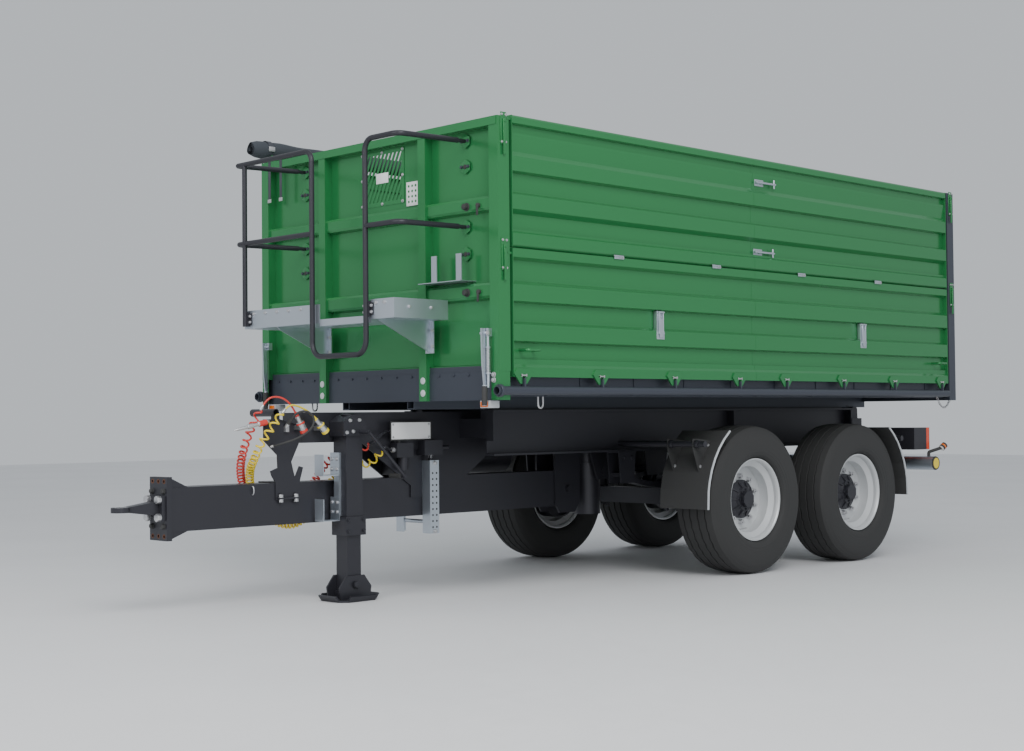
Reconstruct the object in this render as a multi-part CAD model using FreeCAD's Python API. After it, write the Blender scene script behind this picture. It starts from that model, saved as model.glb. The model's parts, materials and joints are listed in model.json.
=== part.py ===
import FreeCAD, Part
import math
import os

# Tandem-axle three-way dump trailer, parked on its drawbar jack. Millimetres, +X forward, +Y left, +Z up.
# Stations along X count from the front axle, and the shift below centres the whole length on X = 0.

V = FreeCAD.Vector
X_AXIS = V(1, 0, 0)
Y_AXIS = V(0, 1, 0)
Z_AXIS = V(0, 0, 1)

# Overall places
eye_tip_x = 4547.0
rear_end_x = -2681.0
shift_x = -(eye_tip_x + rear_end_x) / 2.0
seat = 0.3

# Wheels, 385/65 R22.5 on ten-stud rims
axle_gap = 1330.0
tyre_r = 536.0
tyre_half = 188.0
tread_half = 152.0
wheel_y = 995.0
rim_half = 152.0
rim_r = 298.0
rim_seat_r = 287.0
rim_well_r = 250.0
rim_wall = 9.0
disc_out = 4.0
disc_thick = 12.0
disc_bore_r = 140.5
stud_circle_r = 167.5
stud_hole_r = 13.0
stud_count = 10
spindle_r = 45.0
spindle_gap = 0.3
drum_r = 205.0
drum_back = -140.0
drum_skirt = 35.0
drum_wall = 12.0
cap_r = 62.0

# Axle beams and springs
axle_z = tyre_r
axle_side = 120.0
axle_end_y = 840.0
spring_y = 420.0
spring_w = 90.0
spring_mid_t = 60.0
spring_end_t = 30.0
spring_half = 615.0
spring_rise = 78.0
hanger_x = (640.0, -axle_gap / 2.0, -axle_gap - 640.0)

# Chassis
rail_top = 1198.0
strip_h = 11.0
rail_bot = 890.0
rail_out = 460.0
rail_in = 380.0
rail_web = 10.0
rail_front = 1960.0
rail_rear = -2300.0
flange_t = 14.0
neck_t = 12.0
neck_front = 3280.0
neck_top = 1190.0
neck_low = 1000.0

# Drawbar
beam_half = 85.0
beam_top = 755.0
beam_bot = 497.0
beam_wall = 10.0
beam_front = 4208.0
beam_rear = 800.0
plate_t = 35.0
plate_half = 93.0
plate_top = 818.0
plate_bot = 445.0
eye_z = 635.0
eye_ring_r = 55.0
eye_bore_r = 25.0
eye_ring_h = 30.0
eye_x = eye_tip_x - eye_ring_r

# Parking jack
jack_x = 2965.0
jack_y = 168.0
jack_half = 65.0
jack_top = 1150.0
jack_bot = 412.0
leg_half = 55.0
leg_gap = 0.3
leg_low = 60.0
leg_top = 800.0
foot_half = 150.0
foot_side = 135.0
foot_corner = 45.0
foot_t = 12.0
foot_lip = 34.0

# Bed: plan, heights and wall profile
head_front = 2637.0
head_half = 1213.0
wall_out = 1235.0
wall_t = 4.0
wall_front = head_front - 106.0
wall_rear = -2568.0
wall_end_gap = 6.0
floor_top = 1470.0
floor_t = 5.0
frame_bot = 1254.0
head_rear = wall_front + 10.0
sheet_x = head_rear + 30.0
post_in = 485.0
post_out = 555.0
post_wall = 4.0
loop_left_y = head_half - 333.0
loop_right_y = -(head_half - 441.0)
bed_top = 2996.0
split_top = 2190.0
split_bot = 2181.0
wall_bot = 1394.0
post_w = 105.0
pivot_in = 16.0
pivot_r = 9.0
upper_pivot_z = bed_top - 26.0
lower_pivot_z = split_bot - 32.0
tube_y = 1240.0
tube_z = 1310.0
tube_r = 27.5

# Tipping hinge, lift and tailgate
tip_x = -2400.0
tip_z = 1172.0
tip_pin_r = 25.0
lift_x = 560.0
lift_z = 740.0
lift_pin_r = 30.0
lift_ear_y = 150.0
lift_eye_z = 1212.0
long_in = 300.0
long_out = 372.0
long_low = 1204.0

# Rolled tarp
tarp_y = -wall_out + 20.0
tarp_z = bed_top + 88.0
tarp_front_r = 74.0
tarp_rear_r = 58.0

# Mudguards and their stub tubes
guard_tube_x = (620.0, -1910.0)
guard_tube_z = 948.0

os.makedirs("parts", exist_ok=True)
nodes = {}


def box(x0, x1, y0, y1, z0, z1):
    return Part.makeBox(x1 - x0, y1 - y0, z1 - z0, V(x0, y0, z0))


def cyl(p, d, r, h):
    return Part.makeCylinder(r, h, V(*p), d)


def bar(p, q, r):
    a = V(*p)
    d = V(*q) - a
    return Part.makeCylinder(r, d.Length, a, d)


def fuse(items):
    items = list(items)
    s = items[0]
    if len(items) > 1:
        s = s.multiFuse(items[1:])
    return s.removeSplitter()


def cut(s, tools):
    tools = list(tools)
    t = tools[0] if len(tools) == 1 else tools[0].multiFuse(tools[1:])
    return s.cut(t)


def flip(s):
    return s.mirror(V(0, 0, 0), Y_AXIS)


def both(s):
    return [s, flip(s)]


def prism(points, plane, a, b):
    # closed outline in one plane, run from a to b along the third direction
    make = {"xz": lambda u, w: V(u, a, w), "yz": lambda u, w: V(a, u, w), "xy": lambda u, w: V(u, w, a)}[plane]
    run = {"xz": V(0, b - a, 0), "yz": V(b - a, 0, 0), "xy": V(0, 0, b - a)}[plane]
    pts = [make(u, w) for u, w in points]
    return Part.Face(Part.makePolygon(pts + [pts[0]])).extrude(run)


def channel(x0, x1, y0, y1, z0, z1, t, open_to):
    # open section with walls of t: "-x" runs along Y, "-y" and "+y" run along X, "ends_x" and "ends_y" are tubes
    slots = {"-x": (x0 - 1, x1 - t, y0 - 1, y1 + 1), "-y": (x0 - 1, x1 + 1, y0 - 1, y1 - t),
             "+y": (x0 - 1, x1 + 1, y0 + t, y1 + 1), "ends_x": (x0 - 1, x1 + 1, y0 + t, y1 - t),
             "ends_y": (x0 + t, x1 - t, y0 - 1, y1 + 1)}
    a, b, c, d = slots[open_to]
    return cut(box(x0, x1, y0, y1, z0, z1), [box(a, b, c, d, z0 + t, z1 - t)])


def turned(points, centre, axis):
    # outline of (along, radius) turned about an axis through the centre
    side = Z_AXIS if abs(axis.z) < 0.5 else X_AXIS
    c = V(*centre)
    pts = [c + axis * a + side * r for a, r in points]
    return Part.Face(Part.makePolygon(pts + [pts[0]])).revolve(c, axis, 360)


def wire_of(points, bend):
    # straight runs joined by tangent arcs of one bend radius each
    pts = [V(*p) for p in points]
    edges = []
    start = pts[0]
    for i in range(1, len(pts) - 1):
        u = (pts[i - 1] - pts[i]).normalize()
        w = (pts[i + 1] - pts[i]).normalize()
        half = u.getAngle(w) / 2.0
        r = bend[i - 1] if isinstance(bend, (list, tuple)) else bend
        t = r / math.tan(half)
        a = pts[i] + u * t
        b = pts[i] + w * t
        mid_dir = (u + w).normalize()
        m = pts[i] + mid_dir * (r / math.sin(half) - r)
        edges.append(Part.makeLine(start, a))
        edges.append(Part.Arc(a, m, b).toShape())
        start = b
    edges.append(Part.makeLine(start, pts[-1]))
    return Part.Wire(edges)


def pipe(points, r, bend):
    w = wire_of(points, bend)
    p0 = V(*points[0])
    d = V(*points[1]) - p0
    ring = Part.Wire(Part.makeCircle(r, p0, d))
    return w.makePipeShell([ring], True, False)


def keep(name, shape):
    nodes[name] = shape


def soft_radius(points):
    # bend radii of a free cord: 0.45 of the shorter run over the tangent of half the turn
    pts = [V(*p) for p in points]
    out = []
    for i in range(1, len(pts) - 1):
        u = pts[i] - pts[i - 1]
        w = pts[i + 1] - pts[i]
        out.append(0.45 * min(u.Length, w.Length) / math.tan(u.getAngle(w) / 2.0))
    return out


# Wheels
wheel_table = [("front_left", 0.0, 1), ("rear_left", -axle_gap, 1),
               ("front_right", 0.0, -1), ("rear_right", -axle_gap, -1)]
bead_r = rim_seat_r + seat
bead_y = rim_half - 14.0 - seat
tyre_line = [(-bead_y, bead_r), (-bead_y, rim_r + 2), (-165, 312), (-184, 345), (-tyre_half, 405), (-183, 462), (-166, 505),
             (-tread_half, 524), (-110, 533), (-50, tyre_r), (50, tyre_r), (110, 533), (tread_half, 524),
             (166, 505), (183, 462), (tyre_half, 405), (184, 345), (165, 312), (bead_y, rim_r + 2), (bead_y, bead_r),
             (108, bead_r), (158, 345), (168, 405), (150, 470), (125, 497),
             (-125, 497), (-150, 470), (-168, 405), (-158, 345), (-108, bead_r)]
seat_under = rim_seat_r - rim_wall
well_under = rim_well_r - rim_wall
rim_line = [(rim_half, rim_r), (rim_half - 14, rim_r), (rim_half - 14, rim_seat_r), (104, rim_seat_r),
            (78, rim_well_r), (-92, rim_well_r), (-116, rim_seat_r), (-rim_half + 14, rim_seat_r),
            (-rim_half + 14, rim_r), (-rim_half, rim_r), (-rim_half, rim_r - 8), (-rim_half + 8, seat_under),
            (-121, seat_under), (-97, well_under), (83, well_under), (109, seat_under),
            (rim_half - 22, seat_under), (rim_half - 8, seat_under + 5), (rim_half, rim_r - 8)]
disc_in = disc_out - disc_thick
hub_line = [(drum_back, spindle_r + spindle_gap), (drum_back, drum_r - drum_wall),
            (drum_back - drum_skirt, drum_r - drum_wall), (drum_back - drum_skirt, drum_r), (-34, drum_r),
            (-26, 190), (disc_in, 190), (disc_in, disc_bore_r - seat), (24, disc_bore_r - seat), (30, 118),
            (46, 92), (62, 84), (62, 0), (0, 0), (0, spindle_r + spindle_gap)]
for name, x, side in wheel_table:
    out_dir = V(0, side, 0)
    c = (x, side * wheel_y, axle_z)
    keep("tyre_" + name, turned(tyre_line, c, out_dir))
    disc = turned([(disc_in, disc_bore_r), (disc_out, disc_bore_r), (disc_out, rim_well_r - 5),
                   (disc_in, rim_well_r - 5)], c, out_dir)
    holes = []
    for i in range(stud_count):
        t = 2.0 * math.pi * (i + 0.5) / stud_count
        holes.append(cyl((x + stud_circle_r * math.cos(t), side * (wheel_y + disc_in - 5),
                          axle_z + stud_circle_r * math.sin(t)), out_dir, stud_hole_r, disc_thick + 10))
    keep("rim_" + name, fuse([turned(rim_line, c, out_dir), cut(disc, holes)]))
    cap_pts = []
    for i in range(8):
        t = math.radians(45 * i + 22.5)
        cap_pts.append((x + cap_r * math.cos(t), axle_z + cap_r * math.sin(t)))
    y0 = side * (wheel_y + 60)
    y1 = side * (wheel_y + 92)
    keep("hub_" + name, fuse([turned(hub_line, c, out_dir), prism(cap_pts, "xz", y0, y1)]))

# Axles: square beam, round spindles, brake flanges and cam boxes
axle_parts = []
for x in (0.0, -axle_gap):
    h = axle_side / 2.0
    axle_parts.append(box(x - h, x + h, -axle_end_y, axle_end_y, axle_z - h, axle_z + h))
    for s in (1, -1):
        axle_parts.append(cyl((x, s * (axle_end_y - 10), axle_z), V(0, s, 0), spindle_r,
                              wheel_y - 5 - axle_end_y + 10))
        axle_parts.append(cyl((x, s * (axle_end_y - 22), axle_z), V(0, s, 0), 150.0, 12.0))
        axle_parts.append(bar((x - 105, s * 560, axle_z + 35), (x - 105, s * (axle_end_y - 5), axle_z + 35), 18))
        axle_parts.append(box(x - 122, x - 50, s * 600 - 20, s * 600 + 20, axle_z + 10, axle_z + 58))
        axle_parts.append(cyl((x - 150, s * 600, axle_z + 215), V(0, 0, -1), 62.0, 110.0))
        axle_parts.append(bar((x - 150, s * 600, axle_z + 110), (x - 112, s * 600, axle_z + 40), 12))
keep("axles", fuse(axle_parts))

# Leaf springs on the axles, between slippers in the hangers
spring_top = axle_z + axle_side / 2.0 + seat


def leaf(xc):
    pts_up = []
    pts_low = []
    for k in (-1.0, -0.66, -0.33, 0.0, 0.33, 0.66, 1.0):
        z = spring_top + spring_rise * k * k
        t = spring_mid_t + (spring_end_t - spring_mid_t) * abs(k)
        pts_low.append((xc + spring_half * k, z))
        pts_up.append((xc + spring_half * k, z + t))
    return prism(pts_low + pts_up[::-1], "xz", spring_y - spring_w / 2, spring_y + spring_w / 2)


spring_parts = []
for x in (0.0, -axle_gap):
    clamp = box(x - 85, x + 85, spring_y - 62, spring_y + 62, spring_top + spring_mid_t, spring_top + spring_mid_t + 26)
    rods = []
    for dx in (-72, 72):
        for dy in (-54, 54):
            rods.append(bar((x + dx, spring_y + dy, axle_z - 92), (x + dx, spring_y + dy, spring_top + 100), 10))
    under = box(x - 85, x + 85, spring_y - 66, spring_y + 66, axle_z - axle_side / 2 - seat - 24,
                axle_z - axle_side / 2 - seat)
    spring_parts.append(fuse([leaf(x), clamp, under] + rods))
keep("leaf_springs", Part.makeCompound([b for s in spring_parts for b in both(s)]))

# Chassis frame
frame_parts = []
rail_line = [(rail_rear, rail_bot + 90), (rail_rear + 250, rail_bot), (rail_front, rail_bot),
             (rail_front, rail_top), (rail_rear, rail_top)]
frame_parts.append(prism(rail_line, "xz", rail_in, rail_in + rail_web))
for z0 in (rail_bot, rail_top - flange_t):
    x0 = rail_rear + 250 if z0 == rail_bot else rail_rear
    frame_parts.append(box(x0, rail_front, rail_in, rail_out, z0, z0 + flange_t))
frame_parts.append(box(rail_rear + 60, rail_front, rail_in, rail_in + 14, rail_top - 2, rail_top + strip_h))
for x in (rail_front - 12, -665, rail_rear):
    frame_parts.append(box(x, x + 12, rail_in, rail_out - 4, rail_bot + 100, rail_top))
hanger_low = spring_top + spring_rise + spring_end_t + seat
for hx in hanger_x:
    w = 150 if hx == hanger_x[1] else 90
    low_w = 115 if hx == hanger_x[1] else 70
    cheeks = [(hx - w, rail_bot + 1), (hx + w, rail_bot + 1), (hx + low_w, hanger_low - 42), (hx - low_w, hanger_low - 42)]
    for y0 in (spring_y - spring_w / 2 - 16, spring_y + spring_w / 2 + 4):
        frame_parts.append(prism(cheeks, "xz", y0, y0 + 12))
    slip = 110 if hx == hanger_x[1] else 55
    frame_parts.append(box(hx - slip, hx + slip, spring_y - spring_w / 2 - 8, spring_y + spring_w / 2 + 8,
                           hanger_low, hanger_low + 30))
    frame_parts.append(box(hx - w, hx + w, spring_y - spring_w / 2 - 16, spring_y + spring_w / 2 + 16,
                           rail_bot - 10, rail_bot + 1))
side = fuse(frame_parts)
cross_parts = []
for x, w in ((1900, 70), (1100, 80), (-200, 70), (-1130, 70), (-2000, 80)):
    cross_parts.append(box(x - w / 2, x + w / 2, -rail_in - 1, rail_in + 1, 1010, 1140))
# neck plates along the beam, their front box, and the bracket that takes the beam's rear end
neck_y = beam_half + seat
neck_line = [(neck_front, neck_top), (neck_front, neck_low), (2800, neck_low), (2570, 830), (2470, 762),
             (2380, 700), (2380, 622), (2070, 622), (1720, 860), (1640, 925), (1565, 1010), (1505, 1100),
             (1470, neck_top)]
cross_parts += both(prism(neck_line, "xz", neck_y, neck_y + neck_t))
for x0, x1, z0, z1 in ((2800, neck_front, neck_low, neck_low + 12), (1470, neck_front, neck_top - 12, neck_top),
                       (neck_front - 12, neck_front, neck_low, neck_top), (2380, 2480, 770, 1010)):
    cross_parts.append(box(x0, x1, -neck_y, neck_y, z0, z1))
tail_plate = prism([(745, 891), (745, 520), (800, 448), (960, 448), (1006, 520), (1006, 868), (1060, 1012),
                    (1140, 1012), (1140, 1140), (745, 1140)], "xz", neck_y, neck_y + 16)
cross_parts += both(tail_plate)
cross_parts.append(bar((875, -neck_y - 40, 620), (875, -beam_half - seat, 620), 26))
cross_parts.append(bar((875, neck_y + 40, 620), (875, beam_half + seat, 620), 26))
# stub tubes for the mudguards, and the rear beam with the tipping lugs
for x in guard_tube_x:
    for s in (1, -1):
        cross_parts.append(bar((x, s * (rail_in + 2), guard_tube_z), (x, s * 1185, guard_tube_z), 21.0))
cross_parts.append(box(tip_x - 45, rail_rear + 2, -rail_out, rail_out, 1000, 1110))
for s in (1, -1):
    ya, yb = sorted((s * (long_out + 8), s * (long_out + 48)))
    lug = prism([(tip_x - 45, 1100), (tip_x - 40, tip_z + 20), (tip_x - 20, tip_z + 38), (tip_x + 20, tip_z + 38),
                 (tip_x + 40, tip_z + 20), (tip_x + 60, 1100)], "xz", ya, yb)
    cross_parts.append(lug)
    cross_parts.append(bar((tip_x, s * (long_in - 6), tip_z), (tip_x, s * (long_out + 44), tip_z), tip_pin_r))
for x in (1900, -200, -2000):
    for s in (1, -1):
        ya, yb = sorted((s * long_in, s * long_out))
        cross_parts.append(box(x - 30, x + 30, ya, yb, 1139, long_low - seat))
# cradle of the lift: two cross beams and a pair of bored ears
cradle = []
for dx in (-260, 135):
    cradle.append(box(lift_x + dx, lift_x + dx + 40, -rail_in - 1, rail_in + 1, 905, 985))
for s in (1, -1):
    ya, yb = sorted((s * lift_ear_y, s * (lift_ear_y + 20)))
    cradle.append(prism([(lift_x - 240, 980), (lift_x - 240, 930), (lift_x - 60, lift_z - 60),
                         (lift_x + 60, lift_z - 60), (lift_x + 155, 930), (lift_x + 155, 980)], "xz", ya, yb))
cross_parts.append(cut(fuse(cradle), [bar((lift_x, -300, lift_z), (lift_x, 300, lift_z), lift_pin_r + 0.5)]))
keep("chassis_frame", fuse([side, flip(side)] + cross_parts))

# Drawbar: hollow beam, drilled coupling plate, gussets
beam = cut(box(beam_rear, beam_front + 1, -beam_half, beam_half, beam_bot, beam_top),
           [box(beam_rear - 1, beam_front - 20, -beam_half + beam_wall, beam_half - beam_wall,
                beam_bot + beam_wall, beam_top - beam_wall)])
plate = box(beam_front, beam_front + plate_t, -plate_half, plate_half, plate_bot, plate_top)
plate_holes = []
for z in (plate_top - 26, plate_top - 84, plate_bot + 26, plate_bot + 84):
    for y in (-62.0, 62.0):
        plate_holes.append(cyl((beam_front - 1, y, z), X_AXIS, 8.5, plate_t + 2))
for z in (plate_top - 26, plate_bot + 26):
    plate_holes.append(cyl((beam_front - 1, 0, z), X_AXIS, 8.5, plate_t + 2))
plate = cut(plate, plate_holes)
fins = []
for s in (1, -1):
    z0 = beam_top if s > 0 else beam_bot
    z1 = plate_top - 8 if s > 0 else plate_bot + 8
    for y0 in (-beam_half + 4, beam_half - 18):
        fins.append(prism([(beam_front, z0), (beam_front, z1), (4094, z0)], "xz", y0, y0 + 14))
keep("drawbar_beam", fuse([beam, plate] + fins))

# Towing eye: bolted flange, tapered shank and bored ring
eye_face = beam_front + plate_t
shank = Part.makeLoft([
    Part.makePolygon([V(eye_face + 24, -42, eye_z - 42), V(eye_face + 24, 42, eye_z - 42),
                      V(eye_face + 24, 42, eye_z + 42), V(eye_face + 24, -42, eye_z + 42),
                      V(eye_face + 24, -42, eye_z - 42)]),
    Part.makePolygon([V(eye_x - 30, -30, eye_z - 15), V(eye_x - 30, 30, eye_z - 15),
                      V(eye_x - 30, 30, eye_z + 15), V(eye_x - 30, -30, eye_z + 15),
                      V(eye_x - 30, -30, eye_z - 15)])], True, True)
ring = cyl((eye_x, 0, eye_z - eye_ring_h / 2), Z_AXIS, eye_ring_r, eye_ring_h)
flange = box(eye_face, eye_face + 25, -80, 80, eye_z - 74, eye_z + 74)
bolts = []
for y in (-58, 58):
    for z in (-52, 52):
        bolts.append(cyl((eye_face + 20, y, eye_z + z), X_AXIS, 17.0, 26.0))
eye = fuse([flange, shank, ring] + bolts)
keep("towing_eye", cut(eye, [cyl((eye_x, 0, eye_z - 60), Z_AXIS, eye_bore_r, 120)]))

# Hose stand: forked plate clamped on the beam, with the rest tube across its top
stand_y = beam_half + seat
stand = prism([(3289, beam_top - 105), (3289, beam_top + 4), (3262, beam_top + 92), (3292, beam_top + 100),
               (3326, beam_top + 30), (3353, 884), (3290, 1005), (3290, 1110), (3440, 1150), (3560, 1150),
               (3560, 1020), (3459, 928), (3455, 850), (3510, 830), (3500, 800), (3472, beam_top + 4),
               (3472, beam_top - 105)], "xz", stand_y, stand_y + 8)
saddle = box(3289, 3472, -beam_half - 8, stand_y + 4, beam_top + seat, beam_top + 8)
rest_tube = cut(bar((3470, -150, 1190), (3470, 98, 1190), 24), [bar((3470, -170, 1190), (3470, 160, 1190), 19)])
rest_web = box(3440, 3500, stand_y, stand_y + 8, 1140, 1178)
clamp_bolts = [bar((x, stand_y + 18, 628), (x, stand_y + 18, 690), 7) for x in (3325, 3440)]
clamp_plate = box(3300, 3462, stand_y + 2, stand_y + 28, 655, 665)
keep("hose_stand", fuse([stand, saddle, rest_tube, rest_web, clamp_plate] + clamp_bolts))

# Parking jack: square outer tube with gear head and crank, on brackets at the beam's side
outer = box(jack_x - jack_half, jack_x + jack_half, jack_y - jack_half, jack_y + jack_half, jack_bot, jack_top)
head = prism([(jack_x - 84, 1040), (jack_x - 84, 1120), (jack_x - 30, 1172), (jack_x + 30, 1172), (jack_x + 96, 1130),
              (jack_x + 96, 1040)], "xz", jack_y - jack_half - 3, jack_y + jack_half + 14)
collar = box(jack_x - 80, jack_x + 80, jack_y - jack_half - 3, jack_y + jack_half + 12, jack_bot, 530)
crank_y = jack_y + jack_half + 14
crank = fuse([bar((jack_x - 40, crank_y - 5, 1062), (jack_x - 40, crank_y + 90, 1062), 13),
              bar((jack_x - 40, crank_y + 90, 1062), (jack_x - 330, crank_y + 90, 775), 11),
              bar((jack_x - 330, crank_y + 100, 775), (jack_x - 330, crank_y - 60, 775), 12)])
mount_plate = box(jack_x - 70, jack_x + 60, beam_half + seat, jack_y - jack_half + 2, 520, 730)
bore = box(jack_x - leg_half - leg_gap, jack_x + leg_half + leg_gap, jack_y - leg_half - leg_gap,
           jack_y + leg_half + leg_gap, jack_bot - 1, jack_top - 90)
keep("jack_housing", cut(fuse([outer, head, collar, crank, mount_plate]), [bore]))
hook_parts = []
for z0, dz in ((505, 150), (790, 145)):
    x0 = jack_x + 84
    hook = fuse([box(x0, x0 + 6, 100, 190, z0, z0 + dz), box(x0, x0 + 130, 100, 190, z0, z0 + 6),
                 box(x0 + 124, x0 + 130, 100, 190, z0, z0 + dz - 10)])
    hook_parts.append(hook)
back_bar = box(jack_x + jack_half + seat, jack_x + 84, 130, 180, 535, 935)
keep("jack_hooks", fuse(hook_parts + [back_bar]))

# Jack leg with its hinged foot plate
leg = box(jack_x - leg_half, jack_x + leg_half, jack_y - leg_half, jack_y + leg_half, leg_low, leg_top)
foot_line = []
for sx, sy in ((1, 1), (-1, 1), (-1, -1), (1, -1)):
    corner = [(jack_x + sx * foot_half, jack_y + sy * (foot_side - foot_corner)),
              (jack_x + sx * (foot_half - foot_corner), jack_y + sy * foot_side)]
    foot_line += corner if sx * sy > 0 else corner[::-1]
foot = prism(foot_line, "xy", 0, foot_t)
lips = []
for sx in (1, -1):
    edge = jack_x + sx * foot_half
    lips.append(prism([(edge - sx * 16, 0), (edge, 0), (edge + sx * 26, foot_lip), (edge + sx * 16, foot_lip + 6),
                       (edge - sx * 8, foot_t), (edge - sx * 16, foot_t)], "xz",
                      jack_y - foot_side + foot_corner, jack_y + foot_side - foot_corner))
for sy in (1, -1):
    edge = jack_y + sy * foot_side
    lips.append(prism([(edge - sy * 16, 0), (edge, 0), (edge + sy * 18, foot_lip), (edge + sy * 8, foot_lip + 6),
                       (edge - sy * 8, foot_t), (edge - sy * 16, foot_t)], "yz",
                      jack_x - foot_half + foot_corner, jack_x + foot_half - foot_corner))
boss = box(jack_x - 70, jack_x + 70, jack_y - leg_half - 14, jack_y + leg_half + 14, foot_t - 1, leg_low + 1)
ears = []
for s in (1, -1):
    y0 = jack_y + s * (leg_half + 2)
    y1 = y0 + s * 12
    ears.append(prism([(jack_x - 118, foot_t - 1), (jack_x - 128, 85), (jack_x - 72, 158), (jack_x + 72, 158),
                       (jack_x + 128, 85), (jack_x + 118, foot_t - 1)], "xz", min(y0, y1), max(y0, y1)))
pin = bar((jack_x, jack_y - 85, 100), (jack_x, jack_y + 85, 100), 14)
keep("jack_leg", fuse([leg, foot, boss, pin] + lips + ears))

# Routes of the curly hoses, from the plain lead at the stand to the valve block
coil_r = 28.0
hose_r = 6.0
coil_routes = {
    "red": [(3572, 85, 1215), (3626, 72, 1120), (3642, 20, 1010), (3618, -60, 915), (3572, -145, 835),
            (3510, -210, 730), (3400, -235, 625), (3260, -235, 560), (3115, -235, 565), (3000, -230, 650),
            (2930, -212, 765), (2890, -150, 870), (2855, -40, 922), (2830, 75, 925), (2785, 170, 985)],
    "yellow": [(3455, 150, 1193), (3540, 150, 1100), (3598, 115, 1000), (3590, 30, 900), (3550, -75, 832),
               (3490, -152, 715), (3390, -155, 575), (3260, -155, 472), (3110, -155, 474), (2985, -152, 575),
               (2890, -145, 710), (2810, -100, 820), (2750, 0, 850), (2715, 105, 855), (2680, 165, 940)],
}


def hose_tail(colour, *points):
    # stiff tail with its swaged sleeve, from the end of a curly hose to the valve block
    end = V(*coil_routes[colour][-1])
    run = (end - V(*coil_routes[colour][-2])).normalize()
    start = end + run * seat
    turn = end + run * 38.0
    tail = pipe([tuple(start), tuple(turn)] + list(points), 8, [18] * len(points))
    return fuse([tail, bar(tuple(start), tuple(end + run * 22.0), 13)])


# Step at the side of the neck, blank number plate and valve block
step_y = neck_y + neck_t + seat
step = []
for s in (1, -1):
    ya, yb = sorted((s * step_y, s * (step_y + 78)))
    yc, yd = sorted((s * (step_y + 72), s * (step_y + 78)))
    top = 865 if s > 0 else 600
    step.append(box(2274, 2280, ya, yb, 378, top))
    step.append(box(2200, 2280, yc, yd, 378, top))
step.append(bar((2262, -step_y - 74, 455), (2262, step_y + 74, 455), 13))
keep("side_step", fuse(step))
plate_y = neck_y + neck_t + seat
keep("blank_plate", box(2260, 2600, plate_y + 60, plate_y + 63, 1010, 1120))
valve_parts = [box(2300, 2560, plate_y, plate_y + 60, 1030, 1090),
               box(2170, 2330, plate_y, plate_y + 85, 900, 1000),
               box(2420, 2560, plate_y, plate_y + 75, 890, 985),
               box(2200, 2540, plate_y, plate_y + 20, 940, 1060),
               cyl((2480, plate_y + 40, 895), V(0, 0, -1), 34, 90),
               hose_tail("red", (2700, 190, 1050), (2620, 130, 1060), (2555, 130, 1060)),
               hose_tail("yellow", (2620, 145, 955), (2585, 135, 940), (2555, 135, 940)),
               bar((2190, plate_y + 45, 950), (2090, plate_y + 45, 950), 14),
               bar((2245, plate_y + 45, 905), (2245, plate_y + 45, 850), 16)]
keep("brake_valves", fuse(valve_parts))
tank = turned([(-330, 0), (-330, 60), (-300, 110), (-280, 123), (280, 123), (300, 110), (330, 60), (330, 0)],
              (1500, -250, 870), X_AXIS)
straps = [box(x - 20, x + 20, -265, -235, 985, 1012) for x in (1320, 1680)]
keep("air_tank", fuse([tank] + straps + [box(1140 + seat, 1865 - seat, -290, -210, 1008, 1020)]))

# Mudguards: quarter shells before and behind the tandem, with their tube brackets
guard_in = 560.0
guard_r = 622.0
guard_t = 5.0


def guard(xc, way, y0, y1):
    pts_out = []
    pts_in = []
    for deg in (8, 20, 32, 44, 54):
        t = math.radians(deg)
        pts_out.append((xc + way * guard_r * math.cos(t), axle_z + guard_r * math.sin(t)))
        pts_in.append((xc + way * (guard_r - guard_t) * math.cos(t), axle_z + (guard_r - guard_t) * math.sin(t)))
    low_out = (xc + way * guard_r, 492)
    low_in = (xc + way * (guard_r - guard_t), 492)
    return prism([low_out] + pts_out + pts_in[::-1] + [low_in], "xz", y0, y1)


guards = []
for xc, way in ((0.0, 1), (-axle_gap, -1)):
    shell = guard(xc, way, 770, 1205)
    tube_x = guard_tube_x[0] if way > 0 else guard_tube_x[1]
    stay = []
    for y in (860, 1090):
        stay.append(prism([(tube_x - 26, 905), (tube_x + 26, 905), (tube_x + 26, 985), (tube_x - 26, 985)],
                          "xz", y, y + 6))
        low = math.radians(20)
        high = math.radians(44)
        stay.append(prism([(xc + way * (guard_r - 2) * math.cos(low), axle_z + (guard_r - 2) * math.sin(low)),
                           (tube_x + way * 26, 910), (tube_x + way * 26, 980), (tube_x - way * 26, 985),
                           (xc + way * (guard_r - 2) * math.cos(high), axle_z + (guard_r - 2) * math.sin(high)),
                           (xc + way * (guard_r - 2) * math.cos(math.radians(32)),
                            axle_z + (guard_r - 2) * math.sin(math.radians(32)))],
                          "xz", y, y + 6))
    one = cut(fuse([shell] + stay), [bar((tube_x, 0, 948), (tube_x, 1300, 948), 21.0 + seat)])
    guards += both(one)
keep("mudguards", Part.makeCompound(guards))

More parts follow.
